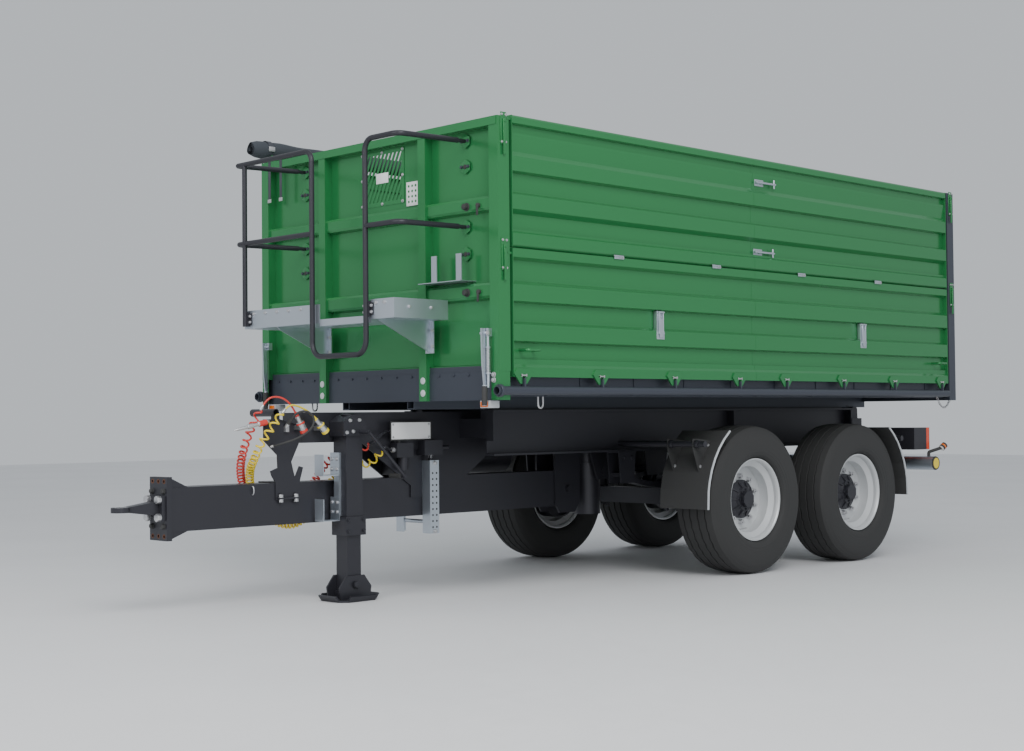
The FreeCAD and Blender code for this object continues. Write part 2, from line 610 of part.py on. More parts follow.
# Rear bumper tube on drop arms, lamp boxes, lenses and marker arms
bump_x = -2340.0
lamp_x = -2095.0
lamp_shell = 188.0
bumper = cut(bar((bump_x, -1230, 735), (bump_x, 1230, 735), 57), [bar((bump_x, -1240, 735), (bump_x, 1240, 735), 52)])
drops = []
for s in (1, -1):
    drops.append(box(bump_x - 8, rail_rear - 2, s * 420 - 30, s * 420 + 30, 760, 1000))
keep("rear_bumper", fuse([bumper] + drops))
caps = [cyl((bump_x, s * 1231, 735), V(0, s, 0), 50, 8) for s in (1, -1)]
caps += [cyl((bump_x, s * 1190, 735), V(0, s, 0), 51.5, 43) for s in (1, -1)]
keep("bumper_reflectors", Part.makeCompound([fuse([caps[0], caps[2]]), fuse([caps[1], caps[3]])]))
lamp_boxes = []
lenses = []
markers = []
for s in (1, -1):
    y0, y1 = sorted((s * 780, s * 1185))
    shell = cut(box(lamp_x - lamp_shell, lamp_x, y0, y1, 850, 1030),
                [box(lamp_x - lamp_shell - 10, lamp_x - 6, y0 + 6, y1 - 6, 856, 1024)])
    ya, yb = sorted((s * (rail_in + rail_web + seat), s * 790))
    arm = box(lamp_x - 100, lamp_x - 50, ya, yb, 985, 1025)
    lamp_boxes.append(fuse([shell, arm]))
    lenses.append(fuse([box(lamp_x - 232, lamp_x - lamp_shell - seat, y0, y1, 850, 1030),
                        box(lamp_x - lamp_shell - seat - 1, lamp_x - 150, y0 + 6 + seat, y1 - 6 - seat,
                            856 + seat, 1024 - seat)]))
    arm2 = pipe([(bump_x, s * 1170, 735 + 57 + seat), (bump_x, s * 1170, 826), (bump_x - 66, s * 1255, 862)], 13, 18)
    markers.append(fuse([arm2, cyl((bump_x - 62, s * 1254, 858), V(-80, s * 22, 60), 26, 46)]))
keep("lamp_boxes", Part.makeCompound(lamp_boxes))
keep("lamp_lenses", Part.makeCompound(lenses))
keep("marker_arms", Part.makeCompound(markers))

# Lift: barrel on its trunnion and four telescoping stages
stage_r = (100.0, 86.0, 73.0, 61.0, 50.0)
stage_wall = 6.0
stage_gap = 0.5
lift_low = 420.0
lift_high = 1120.0
barrel = cyl((lift_x, 0, lift_low), Z_AXIS, stage_r[0], lift_high - lift_low)
bore = cyl((lift_x, 0, lift_low + 20), Z_AXIS, stage_r[1] + stage_gap, 900)
trunnion = bar((lift_x, -lift_ear_y - 26, lift_z), (lift_x, lift_ear_y + 26, lift_z), lift_pin_r)
band = cyl((lift_x, 0, lift_z - 60), Z_AXIS, stage_r[0] + 14, 120)
keep("lift_barrel", cut(fuse([barrel, band, trunnion]), [bore]))
for i in range(1, 5):
    low = lift_low + 20 + 8 * i
    high = lift_high + 14 * i
    body = cyl((lift_x, 0, low), Z_AXIS, stage_r[i], high - low)
    if i < 4:
        inner = cyl((lift_x, 0, low + 8), Z_AXIS, stage_r[i + 1] + stage_gap, 900)
        keep("lift_stage_%d" % i, cut(body, [inner]))
    else:
        eye_end = bar((lift_x, -42, lift_eye_z), (lift_x, 42, lift_eye_z), 40)
        stem = cyl((lift_x, 0, high - 4), Z_AXIS, 34, lift_eye_z - high + 4)
        pin = bar((lift_x, -50, lift_eye_z), (lift_x, 50, lift_eye_z), 22)
        keep("lift_stage_4", fuse([body, stem, eye_end, pin]))

# Bed frame: two longitudinals, cross bearers, side and end beams, hinge eyes and the lift lug
bed_parts = []
beam_x0 = head_rear + 30
beam_x1 = head_front - 32
deck_low = floor_top - floor_t - seat
long_wall = 8.0
bearer_wall = 5.0
for s in (1, -1):
    ya, yb = sorted((s * long_in, s * long_out))
    bed_parts.append(channel(wall_rear - 60, beam_x0 + 10, ya, yb, long_low, deck_low, long_wall, "ends_x"))
for x in range(-2300, 2500, 520):
    bed_parts.append(channel(x - 25, x + 25, -1185, 1185, 1330, deck_low, bearer_wall, "-x"))
for s in (1, -1):
    ya, yb = sorted((s * 1140, s * 1180))
    bed_parts.append(channel(wall_rear, wall_front, ya, yb, 1275, deck_low, bearer_wall, "-y" if s > 0 else "+y"))
bed_parts.append(channel(beam_x0, beam_x1, -head_half + 8, head_half - 8, frame_bot, deck_low, bearer_wall, "ends_y"))
bed_parts.append(channel(wall_rear - 100, wall_rear - 20, -1180, 1180, frame_bot, deck_low, bearer_wall, "ends_y"))
eye_line = [(tip_x - 62, long_low + 40), (tip_x - 45, tip_z - 10), (tip_x - 25, tip_z - 42), (tip_x + 25, tip_z - 42),
            (tip_x + 45, tip_z - 10), (tip_x + 62, long_low + 40)]
for s in (1, -1):
    ya, yb = sorted((s * long_in, s * long_out))
    bed_parts.append(prism(eye_line, "xz", ya, yb))
for s in (1, -1):
    ya, yb = sorted((s * 57, s * 77))
    bed_parts.append(prism([(lift_x - 70, 1335), (lift_x - 40, lift_eye_z - 34), (lift_x + 40, lift_eye_z - 34),
                            (lift_x + 70, 1335)], "xz", ya, yb))
bed_parts.append(box(lift_x - 90, lift_x + 90, -310, 310, 1330, 1380))
for s in (1, -1):
    bed_parts.append(bar((lift_x, s * 60, lift_eye_z), (lift_x, s * 90, lift_eye_z), 26.0))
for x in (2190, 1380, 640, 20, -640, -1370, -2080):
    for s in (1, -1):
        carrier = prism([(s * 1178, 1280), (s * 1216, 1282), (s * 1216, 1338), (s * 1178, 1338)], "yz", x - 15, x + 15)
        bed_parts.append(carrier)
bores = [bar((tip_x, -long_out - 6, tip_z), (tip_x, long_out + 6, tip_z), tip_pin_r + seat)]
for y in (tube_y, -tube_y):
    bores.append(bar((wall_rear - 400, y, tube_z), (head_front + 400, y, tube_z), tube_r + seat))
bed_frame = cut(fuse(bed_parts), bores)
keep("bed_frame", bed_frame)
keep("bed_floor", box(wall_rear - 99, beam_x1 - 5, -1180, 1180, floor_top - floor_t, floor_top))
# Side walls: pressed sheet with rails and ribs, (z, depth in from the outer face)
upper_line = [(bed_top, 46), (bed_top, 8), (2985, 0), (2948, 0), (2941, 30), (2894, 30), (2891, 12), (2876, 12),
              (2777, 22), (2746, 2), (2656, 2), (2644, 36), (2530, 36), (2512, 2), (2422, 2), (2396, 36), (2304, 36),
              (2300, 16), (2288, 16), (2274, 0), (2202, 0), (split_top, 12), (split_top, 46)]
lower_line = [(split_bot, 46), (split_bot, 2), (2128, 2), (2110, 36), (1985, 36), (1961, 2), (1859, 2),
              (1848, 36), (1734, 36), (1716, 2), (1615, 2), (1603, 36), (1507, 36), (1504, 16), (1495, 16), (1472, 16),
              (1454, 2), (wall_bot, 2), (wall_bot, 22)]


def sheet_outline(line, t):
    # offset the pressed line inwards by its sheet thickness
    inner = []
    for i in range(len(line)):
        z, d = line[i]
        n = []
        if i > 0:
            n.append((line[i][0] - line[i - 1][0], line[i][1] - line[i - 1][1]))
        if i < len(line) - 1:
            n.append((line[i + 1][0] - line[i][0], line[i + 1][1] - line[i][1]))
        units = []
        for dz, dd in n:
            k = math.hypot(dz, dd)
            units.append((dd / k, -dz / k))
        az = sum(u[0] for u in units)
        ad = sum(u[1] for u in units)
        k = math.hypot(az, ad)
        az, ad = az / k, ad / k
        grow = t / max(0.45, az * units[0][0] + ad * units[0][1])
        inner.append((z + az * grow, d + ad * grow))
    return list(line) + inner[::-1]


def side_panel(line, x0, x1):
    pts = [(wall_out - d, z) for z, d in sheet_outline(line, wall_t)]
    return prism(pts, "yz", x0, x1)


def end_cap(x0, x1, z0, z1):
    return box(x0, x1, wall_out - 44, wall_out - 1, z0, z1)


hinge_xs = (2448, 1742, 1012, 296, -266, -1004, -1723, -2442)
pivot_y = wall_out - pivot_in
px0 = wall_rear + wall_end_gap
px1 = wall_front - wall_end_gap
caps_up = [end_cap(px1 - 5, px1, split_top, bed_top), end_cap(px0, px0 + 5, split_top, bed_top)]
upper_bore = bar((px0 - 10, pivot_y, upper_pivot_z), (px1 + 10, pivot_y, upper_pivot_z), pivot_r + seat)
lower_bore = bar((px0 - 10, pivot_y, lower_pivot_z), (px1 + 10, pivot_y, lower_pivot_z), pivot_r + seat)
upper_wall = cut(fuse([side_panel(upper_line, px0 + 2, px1 - 2)] + caps_up), [upper_bore])
caps_low = [end_cap(px1 - 5, px1, wall_bot + 2, split_bot), end_cap(px0, px0 + 5, wall_bot + 2, split_bot)]
tags = []
for x in hinge_xs:
    tag = prism([(x - 55, 1446), (x - 80, 1415), (x - 28, 1352), (x + 28, 1352), (x + 80, 1415), (x + 55, 1446)],
                "xz", wall_out - 4, wall_out + 8)
    slot = box(x - 12, x + 12, wall_out - 10, wall_out + 20, 1340, 1400)
    tags.append(cut(tag, [slot]))
lower_wall = fuse([side_panel(lower_line, px0 + 2, px1 - 2)] + caps_low + tags)
handles = []
for x in (px1 - 140, px0 + 140):
    handles.append(pipe([(x - 55, wall_out - 38, 1560), (x - 55, wall_out + 38, 1560), (x + 55, wall_out + 38, 1560),
                         (x + 55, wall_out - 38, 1560)], 9, 20))
lower_wall = cut(fuse([lower_wall] + handles), [lower_bore])
keep("left_upper_wall", upper_wall)
keep("left_lower_wall", lower_wall)
keep("right_upper_wall", flip(upper_wall))
keep("right_lower_wall", flip(lower_wall))

# Lock tube along each side, with hooks into the slots of the hinge tags
tube_parts = []
for s in (1, -1):
    parts = [bar((wall_rear + 30, s * tube_y, tube_z), (head_front + 40, s * tube_y, tube_z), tube_r)]
    for x in hinge_xs:
        y0, y1 = sorted((s * (tube_y - 4), s * (tube_y + 16)))
        parts.append(prism([(x - 7, tube_z + 20), (x + 7, tube_z + 20), (x + 7, 1387), (x - 7, 1387)], "xz", y0, y1))
    inside = bar((wall_rear, s * tube_y, tube_z), (head_front + 50, s * tube_y, tube_z), tube_r - 4)
    tube_parts.append(cut(fuse(parts), [inside]))
keep("lock_tubes", Part.makeCompound(tube_parts))

# Headboard: sheet, posts, rails, corner posts and top rail
hb = []
win = (-158.0, 283.0, 2552.0, 2920.0)
hb.append(cut(box(sheet_x, sheet_x + 4, -head_half + 2, head_half - 2, frame_bot + 220, bed_top - 20),
              [box(sheet_x - 5, sheet_x + 10, win[0] + 20, win[1] - 20, win[2] + 20, win[3] - 20)]))
for s in (1, -1):
    ya, yb = sorted((s * (head_half - 68), s * (head_half + 12)))
    hb.append(box(head_rear, head_front, ya, yb, frame_bot + 175, bed_top - 14))
    ya, yb = sorted((s * post_in, s * post_out))
    hb.append(box(sheet_x, head_front, ya, yb, frame_bot, bed_top - 60))
hb.append(box(head_rear, head_front + 4, -head_half, head_half, bed_top - 66, bed_top - 14))
for z0, z1 in ((2412, 2505), (1872, 1973)):
    rail = [(sheet_x + 2, z0 - 6), (head_front - 22, z0 + 6), (head_front - 14, z0 + 20), (head_front - 14, z1 - 16),
            (head_front - 26, z1), (sheet_x + 2, z1 + 8)]
    hb.append(prism(rail, "xz", -head_half + 2, head_half - 2))
for y in (loop_right_y, loop_left_y):
    for z in (2712, 2165):
        hb.append(cyl((sheet_x + 3, y, z), X_AXIS, 34, 9))
for s in (1, -1):
    ya, yb = sorted((s * (head_half - 60), s * (head_half + 10)))
    hb.append(cut(box(head_rear + 4, head_front, ya, yb, frame_bot, frame_bot + 180),
                  [bar((wall_front - 500, s * tube_y, tube_z), (head_front + 400, s * tube_y, tube_z), tube_r + seat)]))
clear = box(beam_x0 - seat - 40, beam_x1 + seat, -head_half + 8 - seat, head_half - 8 + seat,
            frame_bot - 10, floor_top + seat)
pins = []
for s in (1, -1):
    for z in (upper_pivot_z, lower_pivot_z):
        pins.append(bar((head_rear + 20, s * pivot_y, z), (px1 - 14, s * pivot_y, z), pivot_r))
saddle = cut(box(head_rear + 15, head_rear + 60, tarp_y - 60, tarp_y + 60, bed_top - 20, tarp_z - 40),
             [cyl((head_rear, tarp_y, tarp_z), X_AXIS, tarp_front_r + seat, 200)])
hollows = []
for s in (1, -1):
    ya, yb = sorted((s * (head_half - 64), s * (head_half + 8)))
    hollows.append(box(head_rear + 4, head_front - 4, ya, yb, frame_bot - 1, bed_top - 70))
    ya, yb = sorted((s * (post_in + post_wall), s * (post_out - post_wall)))
    hollows.append(box(sheet_x + post_wall, head_front - post_wall, ya, yb, frame_bot - 1, bed_top - 100))
keep("headboard", fuse([cut(fuse(hb), [clear] + hollows)] + pins + [saddle]))
lower_sheets = []
outer_gap = head_half - 60 - seat
for y0, y1 in ((-outer_gap, -post_out - seat), (-post_in + seat, post_in - seat), (post_out + seat, outer_gap)):
    lower_sheets.append(box(beam_x1 + seat, beam_x1 + 5, y0, y1, frame_bot, frame_bot + 174))
keep("lower_front_sheets", Part.makeCompound(lower_sheets))
slats = []
frame_g = cut(box(sheet_x + 4 + seat, sheet_x + 8, win[0], win[1], win[2], win[3]),
              [box(sheet_x, sheet_x + 20, win[0] + 26, win[1] - 26, win[2] + 26, win[3] - 26)])
slats.append(frame_g)
for i in range(16):
    y = win[0] - 150 + i * 40.0
    slat = prism([(y, win[2] + 10), (y + 22, win[2] + 10), (y + 200, win[3] - 10), (y + 178, win[3] - 10)],
                 "yz", sheet_x + 4 + seat, sheet_x + 8)
    slats.append(slat.common(box(sheet_x, sheet_x + 20, win[0] + 10, win[1] - 10, win[2] + 10, win[3] - 10)))
keep("headboard_grille", fuse(slats))

# Platform with its lip, triangular brackets and hand rails
plat_x = head_front + 442.0
plat_low = 1760.0
plat_lip = 1882.0
plat_mid = 1784.0
plat = [box(head_front + seat + 4, plat_x, -800, 770, plat_low, plat_low + 5)]
for y0, y1 in ((-800, 30), (545, 770)):
    plat.append(box(plat_x - 5, plat_x, y0, y1, plat_low, plat_lip))
plat.append(box(plat_x - 5, plat_x, 28, 547, plat_low - 20, plat_mid))
for y in (-800, 765):
    plat.append(box(head_front + seat + 4, plat_x, y, y + 5, plat_low, plat_lip))
plat = fuse(plat)
slots = []
for y in range(-740, 740, 60):
    for x in (2680, 2810, 2940):
        slots.append(box(x, x + 90, y, y + 26, plat_low - 5, plat_low + 10))
plat = cut(plat, slots)
brackets = []
for y in (-450.0, 600.0):
    brackets.append(fuse([prism([(head_front + seat + 4, plat_low + 1), (plat_x - 8, plat_low + 1),
                                 (plat_x - 40, plat_low - 22), (head_front + seat + 4, 1556)], "xz", y, y + 6),
                          box(head_front + seat + 4, head_front + 10, y - 40, y + 40, 1556, plat_low + 1)]))
keep("platform", fuse([plat] + brackets))
rail_r = 17.0
loop_x = plat_x + rail_r + seat + 6
top_z = 2872.0
mid_z = 2335.0
low_z = 1545.0
u_loop = pipe([(loop_x, -800, top_z), (loop_x, -15, top_z), (loop_x, -15, low_z), (loop_x, 528, low_z),
               (loop_x, 528, top_z), (loop_x, 840, top_z), (head_front + 12, loop_left_y, top_z)],
              rail_r, [70, 90, 90, 70, 60])
right_end = (head_front + 12, loop_right_y)
left_loop = pipe([(loop_x, -790, top_z), (loop_x, -850, top_z), (*right_end, top_z)], rail_r, 16)
parts = [u_loop, bar((loop_x, -762, 1775), (loop_x, -762, top_z), rail_r), left_loop,
         pipe([(loop_x, -15, mid_z), (loop_x, -850, mid_z), (*right_end, mid_z)], rail_r, 30),
         pipe([(loop_x, 528, mid_z), (loop_x, 840, mid_z), (head_front + 12, loop_left_y, mid_z)], rail_r, 60)]
flanges = []
for y in (-762, 528):
    flanges.append(box(plat_x + seat, loop_x, y - 25, y + 25, 1775, 1872))
for y in (loop_right_y, loop_left_y):
    for z in (top_z, mid_z):
        flanges.append(cyl((sheet_x + 4 + seat, y, z), X_AXIS, 34, 8))
        flanges.append(cyl((sheet_x + 8, y, z), X_AXIS, 12, head_front + 16 - sheet_x - 8))
keep("handrails", fuse(parts + flanges))
holder = fuse([box(sheet_x + 4 + seat, head_front + 70, 562, 960, 1990, 1995),
               box(head_front + 20, head_front + 26, 640, 690, 1990, 2165),
               box(head_front + 20, head_front + 26, 870, 920, 1990, 2165)])
keep("tool_holder", Part.makeCompound([holder, box(sheet_x + 4 + seat, sheet_x + 9, 311, 457, 2525, 2677)]))

# Lock levers with rods at both front corners
levers = []
for s in (1, -1):
    y = s * (head_half - 95.0)
    ya, yb = sorted((y - s * 14, y + s * 44))
    lug = box(head_front + seat, head_front + 30, ya, yb, 1640, 1690)
    arm = fuse([prism([(head_front + 34, 1690), (head_front + 64, 1690), (head_front + 58, 1470), (head_front + 44, 1340),
                       (head_front + 28, 1340), (head_front + 26, 1470)], "xz", y + s * 15 - 6, y + s * 15 + 6),
                bar((head_front + 36, y + s * 15, 1345), (head_front + 40, y + s * 15, 1220), 15),
                bar((head_front + 30, y - s * 24, 1660), (head_front + 30, y + s * 40, 1660), 10),
                bar((head_front + 24, y + s * 34, 1660), (head_front + 24, y + s * 34, tube_z + 20), 9)])
    levers.append(fuse([lug, arm]))
keep("lock_levers", Part.makeCompound(levers))

# Rear corner posts and the tail wall in two panels
rp = []
for s in (1, -1):
    ya, yb = sorted((s * (wall_out - post_w), s * wall_out))
    rp.append(box(wall_rear - 110, wall_rear - 10, ya, yb, frame_bot, bed_top))
tail_half = wall_out - post_w - 8.0
tail_out_x = rear_end_x + 1.0
tail_pivot_x = tail_out_x + pivot_in
posts = []
for s, post in zip((1, -1), rp):
    ya, yb = sorted((s * (wall_out - post_w + 4), s * (wall_out - 4)))
    post = cut(post, [box(wall_rear - 106, wall_rear - 14, ya, yb, frame_bot - 1, bed_top - 4)])
    post = cut(post, [box(wall_rear - 100 - seat, wall_rear, -1180 - seat, 1180 + seat, frame_bot - 5, floor_top + seat)])
    pins = []
    for z in (upper_pivot_z, lower_pivot_z):
        pins.append(bar((tail_pivot_x, s * (tail_half + 20), z), (tail_pivot_x, s * (tail_half - 12), z), pivot_r))
        pins.append(bar((wall_rear - 30, s * pivot_y, z), (px0 + 14, s * pivot_y, z), pivot_r))
    if s < 0:
        pins.append(cut(box(wall_rear - 70, wall_rear - 25, tarp_y - 20, tarp_y + 60, bed_top - 5, tarp_z - 35),
                        [cyl((wall_rear - 100, tarp_y, tarp_z), X_AXIS, tarp_rear_r + seat, 200)]))
    posts.append(fuse([post] + pins))
keep("rear_posts", Part.makeCompound(posts))


def tail_panel(line, z0, z1):
    pts = [(tail_out_x + d, z) for z, d in sheet_outline(line, wall_t)]
    panel = prism(pts, "xz", -tail_half + 2, tail_half - 2)
    ends = [box(tail_out_x - 1, tail_out_x + 44, s * tail_half - (5 if s > 0 else 0),
                s * tail_half + (0 if s > 0 else 5), z0, z1) for s in (1, -1)]
    bores = [bar((tail_pivot_x, -1200, z), (tail_pivot_x, 1200, z), pivot_r + seat) for z in (upper_pivot_z, lower_pivot_z)]
    return cut(fuse([panel] + ends), bores)


keep("tail_upper_wall", tail_panel(upper_line, split_top, bed_top))
tail_low_line = [p for p in lower_line if p[0] > 1480] + [(1480, 16), (1480, 40)]
keep("tail_lower_wall", tail_panel(tail_low_line, 1480, split_bot))

# Rolled tarp on the right-hand top edge, carried by saddles on the headboard and the rear post
roll = turned([(-2650, 0), (-2650, tarp_rear_r), (-2560, tarp_rear_r), (-2480, 60), (-1200, 64), (0, 60), (1300, 66),
               (2300, 60), (2530, tarp_front_r), (2620, tarp_front_r), (2700, 66), (2740, 40), (2740, 0)],
              (0, tarp_y, tarp_z), X_AXIS)
keep("tarp_roll", roll)

# Hoses: couplings parked in their holders, plain leads, and the two curly air hoses as plain fat tubes
lead_starts = {
    "red": [(3340, 140, 1165), (3372, 135, 1230), (3432, 118, 1284), (3505, 98, 1290)],
    "yellow": [(3211, 160, 1144), (3258, 158, 1192), (3318, 152, 1222), (3385, 150, 1240)],
}
for colour, route in coil_routes.items():
    radii = soft_radius(route)
    print(colour, "coil radii", [round(v) for v in radii])
    keep(colour + "_coil", pipe(route, coil_r, radii))
    first = V(*route[0])
    run = (V(*route[1]) - first).normalize() * 40.0
    lead = lead_starts[colour] + [tuple(first - run), tuple(first)]
    radii = soft_radius(lead)
    print(colour, "hose radii", [round(v) for v in radii])
    keep(colour + "_hose", pipe(lead, hose_r, radii))
lead_route = [(3395, 120, 1120), (3380, 160, 1180), (3320, 200, 1205), (3262, 215, 1165), (3275, 215, 1095),
              (3360, 210, 1040), (3455, 180, 1005), (3500, 112, 985)]
lead_r = 7.0
radii = soft_radius(lead_route)
print("black lead radii", [round(v) for v in radii])
keep("black_lead", pipe(lead_route, lead_r, radii))
couplings = []
for colour, low, half in (("red", (3305, 146, 1095), stand_y + 8 + seat), ("yellow", (3127, 180, 1055), neck_y + neck_t + seat)):
    top = V(*lead_starts[colour][0])
    along = (V(*lead_starts[colour][1]) - top).normalize()
    tip = top - along * 110.0
    body = fuse([bar(tuple(top), tuple(top - along * 45.0), 15), bar(tuple(top - along * 40.0), tuple(tip), 24)])
    mid = top - along * 75.0
    holder = box(mid.x - 22, mid.x + 22, half, mid.y, mid.z - 14, mid.z + 14)
    couplings.append(fuse([body, holder]))
start = V(*lead_route[0])
along = (V(*lead_route[1]) - start).normalize()
socket = bar(tuple(start), tuple(start - along * 24.0), 13)
couplings.append(fuse([socket, box(start.x - 12, start.x + 14, stand_y + 8 + seat, start.y - 6, 1070, 1104)]))
end = V(*lead_route[-1])
along = (end - V(*lead_route[-2])).normalize()
stop = end + along * 18.0
clip_end = bar(tuple(end), tuple(stop), 9)
couplings.append(cut(clip_end, [box(3400, 3600, 0, stand_y + 8 + seat, 900, 1100)]))
keep("hose_couplings", Part.makeCompound(couplings))

for name, shape in nodes.items():
    moved = shape.copy()
    moved.translate(V(shift_x, 0, 0))
    moved.exportStep("parts/" + name + ".step")
    b = moved.BoundBox
    print("%-22s %8.1f %8.1f %8.1f %8.1f %8.1f %8.1f %10.3f %d %s" % (
        name, b.XMin, b.XMax, b.YMin, b.YMax, b.ZMin, b.ZMax, moved.Volume / 1e6, len(moved.Solids), moved.isValid()))
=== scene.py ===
import json
import logging
import math
from dataclasses import dataclass
from enum import Enum

import bpy
from mathutils import Matrix, Vector

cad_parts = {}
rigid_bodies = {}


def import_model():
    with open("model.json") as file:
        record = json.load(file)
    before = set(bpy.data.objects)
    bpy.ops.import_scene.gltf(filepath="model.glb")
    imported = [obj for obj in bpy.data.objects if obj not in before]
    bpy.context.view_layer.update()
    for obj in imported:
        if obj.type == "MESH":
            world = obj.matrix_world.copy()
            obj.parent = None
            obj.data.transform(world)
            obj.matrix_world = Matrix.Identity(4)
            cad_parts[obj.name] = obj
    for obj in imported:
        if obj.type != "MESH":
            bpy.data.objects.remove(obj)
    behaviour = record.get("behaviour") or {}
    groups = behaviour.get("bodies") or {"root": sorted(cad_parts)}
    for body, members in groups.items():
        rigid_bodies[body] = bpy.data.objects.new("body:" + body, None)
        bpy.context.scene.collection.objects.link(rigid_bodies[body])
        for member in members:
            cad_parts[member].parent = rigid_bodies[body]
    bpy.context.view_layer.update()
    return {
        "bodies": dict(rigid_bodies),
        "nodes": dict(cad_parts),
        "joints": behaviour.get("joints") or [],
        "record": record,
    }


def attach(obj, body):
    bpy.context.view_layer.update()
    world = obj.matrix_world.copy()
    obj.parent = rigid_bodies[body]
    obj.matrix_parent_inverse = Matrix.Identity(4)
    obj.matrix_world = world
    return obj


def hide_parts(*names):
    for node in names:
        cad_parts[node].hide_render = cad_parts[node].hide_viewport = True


log = logging.getLogger("dump_trailer")

Point = tuple[float, float, float]
Pair = tuple[float, float]
Outline = tuple[Pair, ...]
Piece = bpy.types.Object

AHEAD = Vector((1.0, 0.0, 0.0))
BACK = Vector((-1.0, 0.0, 0.0))
ABOVE = Vector((0.0, 0.0, 1.0))
BELOW = Vector((0.0, 0.0, -1.0))
ORIGIN = Vector((0.0, 0.0, 0.0))


class Body(str, Enum):
    """Moving bodies of the trailer that pieces ride on."""

    CHASSIS = "chassis"
    BED = "bed"
    JACK_LEG = "jack_leg"
    LEFT_UPPER = "left_upper_wall"
    LEFT_LOWER = "left_lower_wall"
    RIGHT_UPPER = "right_upper_wall"
    RIGHT_LOWER = "right_lower_wall"
    WHEEL_FRONT_LEFT = "wheel_front_left"
    WHEEL_REAR_LEFT = "wheel_rear_left"
    WHEEL_FRONT_RIGHT = "wheel_front_right"
    WHEEL_REAR_RIGHT = "wheel_rear_right"


class Side(Enum):
    """Left or right side, as the sign of Y."""

    LEFT = 1
    RIGHT = -1

    @property
    def out(self) -> Vector:
        """Direction away from the middle."""
        return Vector((0.0, float(self.value), 0.0))

    @property
    def tag(self) -> str:
        """Ending of a piece's name."""
        return "_" + self.name.lower()


@dataclass(frozen=True)
class Stations:
    """Main places in millimetres. X counts from the front axle, and shift moves it into the frame."""

    shift: float = -933.0
    axle_gap: float = 1330.0
    wheel_y: float = 995.0
    axle_z: float = 536.0
    wall_out: float = 1235.0
    head_front: float = 2637.0
    head_plate: float = 2580.0
    plat_front: float = 3079.0
    tube_z: float = 1310.0


ST = Stations()


def at(x: float, y: float, z: float) -> Vector:
    """Point in the frame, in metres, of a place in millimetres from the front axle."""
    return Vector(((x + ST.shift) / 1000.0, y / 1000.0, z / 1000.0))


# Shared effects, each a node group that a material places with its own values
@dataclass(frozen=True)
class Effect:
    """Shader node group that puts out a colour between Base and Deep, a roughness and a normal.

    inputs names its values, nodes gives each node's kind, settings and input values, and links gives
    node, output, node and input. The nodes place, blend, rough and bump are in every group.
    """

    name: str
    inputs: tuple[str, ...]
    nodes: tuple[tuple[str, str, dict, dict], ...]
    links: tuple[tuple[str, str, str, str | int], ...]

    def tree(self) -> bpy.types.NodeTree:
        """Builds the group, or gives the one already built.

        Returns:
            The group.
        """
        if self.name in bpy.data.node_groups:
            return bpy.data.node_groups[self.name]
        tree = bpy.data.node_groups.new(self.name, "ShaderNodeTree")
        sockets = [("Base", "INPUT", "Color"), ("Deep", "INPUT", "Color")]
        sockets += [(name, "INPUT", "Float") for name in self.inputs]
        sockets += [("Color", "OUTPUT", "Color"), ("Roughness", "OUTPUT", "Float"), ("Normal", "OUTPUT", "Vector")]
        for name, way, kind in sockets:
            tree.interface.new_socket(name=name, in_out=way, socket_type="NodeSocket" + kind)
        made = {"in": tree.nodes.new("NodeGroupInput"), "out": tree.nodes.new("NodeGroupOutput")}
        shared = (("place", "TexCoord", {}, {}), ("blend", "Mix", {"data_type": "RGBA"}, {}))
        for name, kind, settings, values in shared + self.nodes:
            made[name] = tree.nodes.new("ShaderNode" + kind)
            for key, value in settings.items():
                setattr(made[name], key, value)
            for key, value in values.items():
                made[name].inputs[key].default_value = value
        ends = (("in", "Base", "blend", 6), ("in", "Deep", "blend", 7), ("rough", "Result", "out", "Roughness"),
                ("bump", "Normal", "out", "Normal"))
        for start, output, end, socket in ends + self.links:
            tree.links.new(made[start].outputs[output], made[end].inputs[socket])
        tree.links.new(made["blend"].outputs[2], made["out"].inputs["Color"])
        return tree


# Painted or moulded skin: mottled colour, varied gloss and a fine peel
SKIN = Effect(
    "skin", ("Scale", "Rough Low", "Rough High", "Peel Scale", "Peel Depth"),
    (("mottle", "TexNoise", {}, {"Detail": 5.0}),
     ("spread", "MapRange", {}, {"From Min": 0.35, "From Max": 0.68}),
     ("gloss", "TexNoise", {}, {"Scale": 9.0, "Detail": 3.0}),
     ("rough", "MapRange", {}, {"From Min": 0.3, "From Max": 0.7}),
     ("peel", "TexNoise", {}, {"Detail": 2.0}),
     ("bump", "Bump", {}, {"Strength": 0.35})),
    (("place", "Object", "mottle", "Vector"), ("place", "Object", "gloss", "Vector"),
     ("place", "Object", "peel", "Vector"), ("in", "Scale", "mottle", "Scale"),
     ("mottle", "Fac", "spread", "Value"), ("spread", "Result", "blend", "Factor"),
     ("gloss", "Fac", "rough", "Value"), ("in", "Rough Low", "rough", "To Min"),
     ("in", "Rough High", "rough", "To Max"), ("in", "Peel Scale", "peel", "Scale"),
     ("peel", "Fac", "bump", "Height"), ("in", "Peel Depth", "bump", "Distance")))

